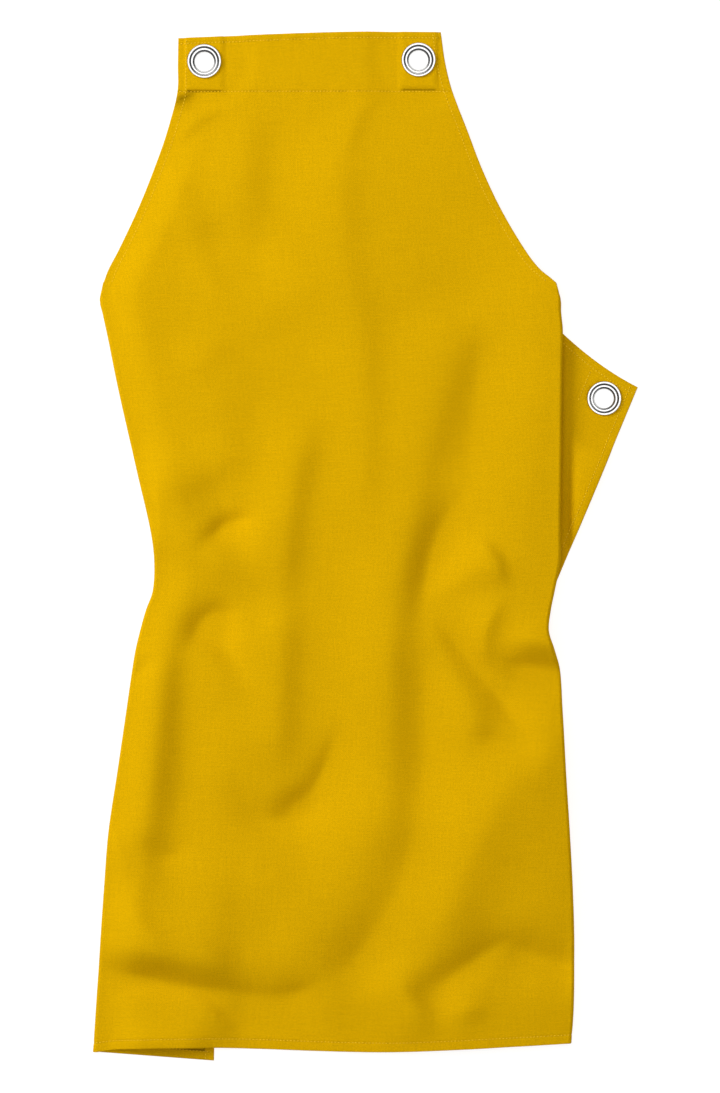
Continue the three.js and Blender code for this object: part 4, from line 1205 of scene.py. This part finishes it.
def sew(name, lines, tree, settings, material):
    """Stitches along lines of points with normals, as one plain mesh."""
    points, edges, ups = [], [], []
    for line, normals in lines:
        first = len(points)
        points.extend((line + normals * STITCH_LIFT) * MM)
        ups.extend(normals)
        edges.extend((first + i, first + i + 1) for i in range(len(line) - 1))
    mesh = bpy.data.meshes.new(name + "_lines")
    mesh.from_pydata(np.array(points).tolist(), edges, [])
    up = mesh.attributes.new("seam_up", "FLOAT_VECTOR", "POINT")
    up.data.foreach_set("vector", np.array(ups, np.float32).ravel())
    piece = bpy.data.objects.new(name, mesh)
    bpy.context.scene.collection.objects.link(piece)
    modifier = piece.modifiers.new("stitches", "NODES")
    modifier.node_group = tree
    sockets = {item.name: item.identifier for item in tree.interface.items_tree if item.in_out == "INPUT"}
    for key in STITCH_INPUTS:
        modifier[sockets[key]] = getattr(settings, key.lower())
    evaluated = piece.evaluated_get(bpy.context.evaluated_depsgraph_get())
    sewn = bpy.data.meshes.new_from_object(evaluated)
    piece.modifiers.remove(modifier)
    piece.data = sewn
    sewn.name = name
    sewn.materials.clear()
    sewn.materials.append(material)
    bpy.data.meshes.remove(mesh)
    return piece


def floor_piece(settings):
    """The floor, a square that reaches far beyond the apron."""
    half = FLOOR_HALF / MM
    corners = [(-half, -half), (half, -half), (half, half), (-half, half)]
    points = [(x, y, FLOOR_LEVEL) for x, y in corners]
    return new_piece("floor", points, [(0, 1, 2, 3)], painted_glow_floor(settings))


def hang_lights(scene, settings):
    """A key light from the upper left, and a wide soft one overhead."""
    for name, place, size, power, colour in (
        ("key_light", KEY_PLACE, KEY_SIZE, settings.key_power, KEY_COLOUR),
        ("fill_light", FILL_PLACE, FILL_SIZE, settings.fill_power, FILL_COLOUR),
    ):
        light = bpy.data.lights.new(name, "AREA")
        light.shape = "DISK"
        light.size = size
        light.energy = power
        light.color = colour
        lamp = bpy.data.objects.new(name, light)
        lamp.visible_glossy = name != "key_light"  # polished rims mirror the room, not the small key
        scene.collection.objects.link(lamp)
        lamp.location = place
        lamp.rotation_euler = (-lamp.location).to_track_quat("-Z", "Y").to_euler()


def pale_room(settings):
    """A room that is bright overhead and dark along its walls, so that polished rims show dark edges."""
    world = bpy.data.worlds.new("pale_room")
    world.use_nodes = True
    tree = world.node_tree
    room = tree.nodes["Background"]
    room.inputs["Color"].default_value = (*srgb(ROOM_COLOUR), 1)
    way = add_node(tree, "ShaderNodeTexCoord").outputs["Generated"]
    up = add_node(tree, "ShaderNodeSeparateXYZ", {0: way}).outputs[2]
    light = add_node(tree, "ShaderNodeMapRange", {
        "Value": up,
        "From Min": WALL_TOP,
        "From Max": CEILING_EDGE,
        "To Min": settings.wall,
        "To Max": settings.sky,
    })
    tree.links.new(light.outputs[0], room.inputs["Strength"])
    return world


def camera_overhead(scene, settings):
    """A camera that looks straight down and shows the asked length of floor."""
    data = bpy.data.cameras.new("camera")
    data.lens = data.sensor_width * settings.camera_height / settings.view_length
    data.clip_end = FARTHEST
    camera = bpy.data.objects.new("camera", data)
    scene.collection.objects.link(camera)
    camera.location = (*settings.view_middle, settings.camera_height)
    return camera


class ApronClothSettings(bpy.types.PropertyGroup):
    """Sizes and colours of the canvas."""
    thickness: FloatProperty(name="Thickness", description="One layer of canvas", default=1.0 * MM,
                             unit="LENGTH")
    seam_inset: FloatProperty(name="Side Seam", description="Side and armhole seams from their edge",
                              default=7.4 * MM, unit="LENGTH")
    hem_seam_inset: FloatProperty(name="Hem Seam", description="Hem seam from the hem edge",
                                  default=8.0 * MM, unit="LENGTH")
    top_seam_inset: FloatProperty(name="Top Seam", description="Top seam from the top edge",
                                  default=5.2 * MM, unit="LENGTH")
    groove_depth: FloatProperty(name="Seam Groove", description="How far the thread pulls the cloth in",
                                default=0.38 * MM, unit="LENGTH")
    pucker_height: FloatProperty(name="Pucker", description="Height of the puckers along a seam",
                                 default=0.22 * MM, unit="LENGTH")
    pucker_length: FloatProperty(name="Pucker Length", description="Length of one pucker along a seam",
                                 default=13.0 * MM, unit="LENGTH")
    patch_step: FloatProperty(name="Patch Step", description="Fall of the cloth beside a patch behind it",
                              default=1.0 * MM, unit="LENGTH")
    thread_spacing: FloatProperty(name="Thread Spacing", description="Threads of the weave, drawn coarse",
                                  default=0.9 * MM, unit="LENGTH")
    canvas_colour: FloatVectorProperty(name="Canvas", description="Colour of the dyed canvas",
                                       subtype="COLOR", default=srgb("CC9C03"), min=0, max=1)
    nap_colour: FloatVectorProperty(name="Nap", description="Tint of the soft nap", subtype="COLOR",
                                    default=srgb("E0B020"), min=0, max=1)


class ApronStitchSettings(bpy.types.PropertyGroup):
    """Sizes and colour of the stitches."""
    pitch: FloatProperty(name="Pitch", description="From one stitch to the next", default=3.0 * MM,
                         unit="LENGTH")
    length: FloatProperty(name="Length", description="Length of a stitch", default=2.0 * MM,
                          unit="LENGTH")
    width: FloatProperty(name="Width", description="Width of the thread", default=0.85 * MM,
                         unit="LENGTH")
    height: FloatProperty(name="Height", description="Height of the thread", default=0.7 * MM,
                          unit="LENGTH")
    slant: FloatProperty(name="Slant", description="Turn of a stitch off its seam", default=math.radians(6),
                         unit="ROTATION", subtype="ANGLE")
    seed: IntProperty(name="Seed", description="Which uneven slants are drawn", default=7)
    thread_colour: FloatVectorProperty(name="Thread", description="Colour of the thread", subtype="COLOR",
                                       default=srgb("EABF28"), min=0, max=1)


class ApronEyeletSettings(bpy.types.PropertyGroup):
    """Finish of the eyelets and washers."""
    nickel_colour: FloatVectorProperty(name="Nickel", description="Colour of the plating", subtype="COLOR",
                                       default=srgb("E0DFDD"), min=0, max=1)
    nickel_roughness: FloatProperty(name="Roughness", description="Roughness of the polish", default=0.12,
                                    min=0, max=1)


class ApronStageSettings(bpy.types.PropertyGroup):
    """Floor, light and camera."""
    camera_height: FloatProperty(name="Camera Height", description="Camera above the floor", default=2.4,
                                 unit="LENGTH")
    view_length: FloatProperty(name="View Length", description="Length of floor that the picture shows",
                               default=0.962, unit="LENGTH")
    view_middle: FloatVectorProperty(name="View Middle", description="Middle of the picture on the floor",
                                     size=2, default=(-0.0048, 0.0), unit="LENGTH")
    floor_colour: FloatVectorProperty(name="Floor", description="Colour of the floor", subtype="COLOR",
                                      default=srgb("9A9A99"), min=0, max=1)
    # The floor's glow is painted light: no lamp is behind it.
    floor_glow: FloatProperty(name="Floor Glow", description="Light of the table itself", default=0.8)
    key_power: FloatProperty(name="Key", description="Power of the light from the upper left", default=78.4)
    fill_power: FloatProperty(name="Fill", description="Power of the light overhead", default=50.0)
    sky: FloatProperty(name="Ceiling", description="Brightness of the room overhead", default=0.6)
    wall: FloatProperty(name="Walls", description="Brightness of the room along the walls", default=0.06)


class APRON_OT_cloth(bpy.types.Operator):
    """Lay the apron's cloth with its folds and hems"""
    bl_idname = "apron.cloth"
    bl_label = "Cloth"

    def execute(self, context):
        settings = context.scene.apron_cloth
        cloth = cloth_piece(ApronSheet(settings), cotton_canvas(settings))
        ride_and_replace(cloth, "canvas", "apron_body")
        return {"FINISHED"}


class APRON_OT_patches(bpy.types.Operator):
    """Make the patch behind each eyelet"""
    bl_idname = "apron.patches"
    bl_label = "Patches"

    def execute(self, context):
        canvas = cotton_canvas(context.scene.apron_cloth)
        profile = rounded(PATCH_PROFILE)
        profile[:, 0] = np.clip(profile[:, 0], 0, 1)
        points, quads = ring_points(profile, patch_reach, PATCH_SEGMENTS)
        for name, _, out, face_down in CORNERS:
            placed, faces = set_at_corner(points, quads, name, out, face_down)
            patch = new_piece("reinforcing_patch_" + name, placed, faces, canvas, points[:, :2])
            ride_and_replace(patch, "canvas", "patch_" + name)
        return {"FINISHED"}


class APRON_OT_stitching(bpy.types.Operator):
    """Sew the hems, the band, the armholes and the side edges"""
    bl_idname = "apron.stitching"
    bl_label = "Stitching"

    def execute(self, context):
        settings = context.scene.apron_stitches
        thread = spun_thread(settings)
        sheet = ApronSheet(context.scene.apron_cloth)
        tree = stitch_tree(thread)
        lines = {}
        for name, section, heights, at in seam_paths(sheet):
            for wrong in (False, True):
                lines.setdefault(name, []).append(sheet.on_side(section, heights, at, wrong))
        for name, sewn in lines.items():
            ride_and_replace(sew(name, sewn, tree, settings, thread), "canvas")
        return {"FINISHED"}


class APRON_OT_eyelets(bpy.types.Operator):
    """Set the metal eyelets and the washers behind them"""
    bl_idname = "apron.eyelets"
    bl_label = "Eyelets"

    def execute(self, context):
        nickel = polished_nickel(context.scene.apron_eyelets)
        for kind, profile in (("eyelet", EYELET_PROFILE), ("washer", WASHER_PROFILE)):
            points, quads = ring_points(rounded(profile), turned_reach, RING_SEGMENTS)
            for name, _, out, face_down in CORNERS:
                placed, faces = set_at_corner(points, quads, name, out, face_down)
                ring = new_piece(f"nickel_{kind}_{name}", placed, faces, nickel)
                ride_and_replace(ring, "nickel", f"{kind}_{name}")
        return {"FINISHED"}


class APRON_OT_stage(bpy.types.Operator):
    """Set the floor, the lights and the camera"""
    bl_idname = "apron.stage"
    bl_label = "Stage"

    def execute(self, context):
        scene = context.scene
        settings = scene.apron_stage
        floor_piece(settings)
        hang_lights(scene, settings)
        scene.world = pale_room(settings)
        scene.camera = camera_overhead(scene, settings)
        scene.view_settings.view_transform = "Standard"
        return {"FINISHED"}


class APRON_PT_panel(bpy.types.Panel):
    """Buttons that make the apron, piece by piece"""
    bl_idname = "APRON_PT_panel"
    bl_label = "Bib Apron"
    bl_space_type = "VIEW_3D"
    bl_region_type = "UI"
    bl_category = "Apron"

    def draw(self, context):
        for operator in OPERATORS:
            self.layout.operator(operator.bl_idname)
        for key in SETTINGS:
            settings = getattr(context.scene, key)
            for name in settings.__annotations__:
                self.layout.prop(settings, name)


SETTINGS = {
    "apron_cloth": ApronClothSettings,
    "apron_stitches": ApronStitchSettings,
    "apron_eyelets": ApronEyeletSettings,
    "apron_stage": ApronStageSettings,
}
OPERATORS = (APRON_OT_stage, APRON_OT_cloth, APRON_OT_patches, APRON_OT_stitching, APRON_OT_eyelets)
CLASSES = (*SETTINGS.values(), *OPERATORS, APRON_PT_panel)


def register():
    for each in CLASSES:
        bpy.utils.register_class(each)
    for key, group in SETTINGS.items():
        setattr(bpy.types.Scene, key, PointerProperty(type=group))


def unregister():
    for key in SETTINGS:
        delattr(bpy.types.Scene, key)
    for each in reversed(CLASSES):
        bpy.utils.unregister_class(each)


def main():
    register()
    bpy.ops.apron.stage()
    bpy.ops.apron.cloth()
    bpy.ops.apron.patches()
    bpy.ops.apron.stitching()
    bpy.ops.apron.eyelets()


if __name__ == "__main__":
    main()
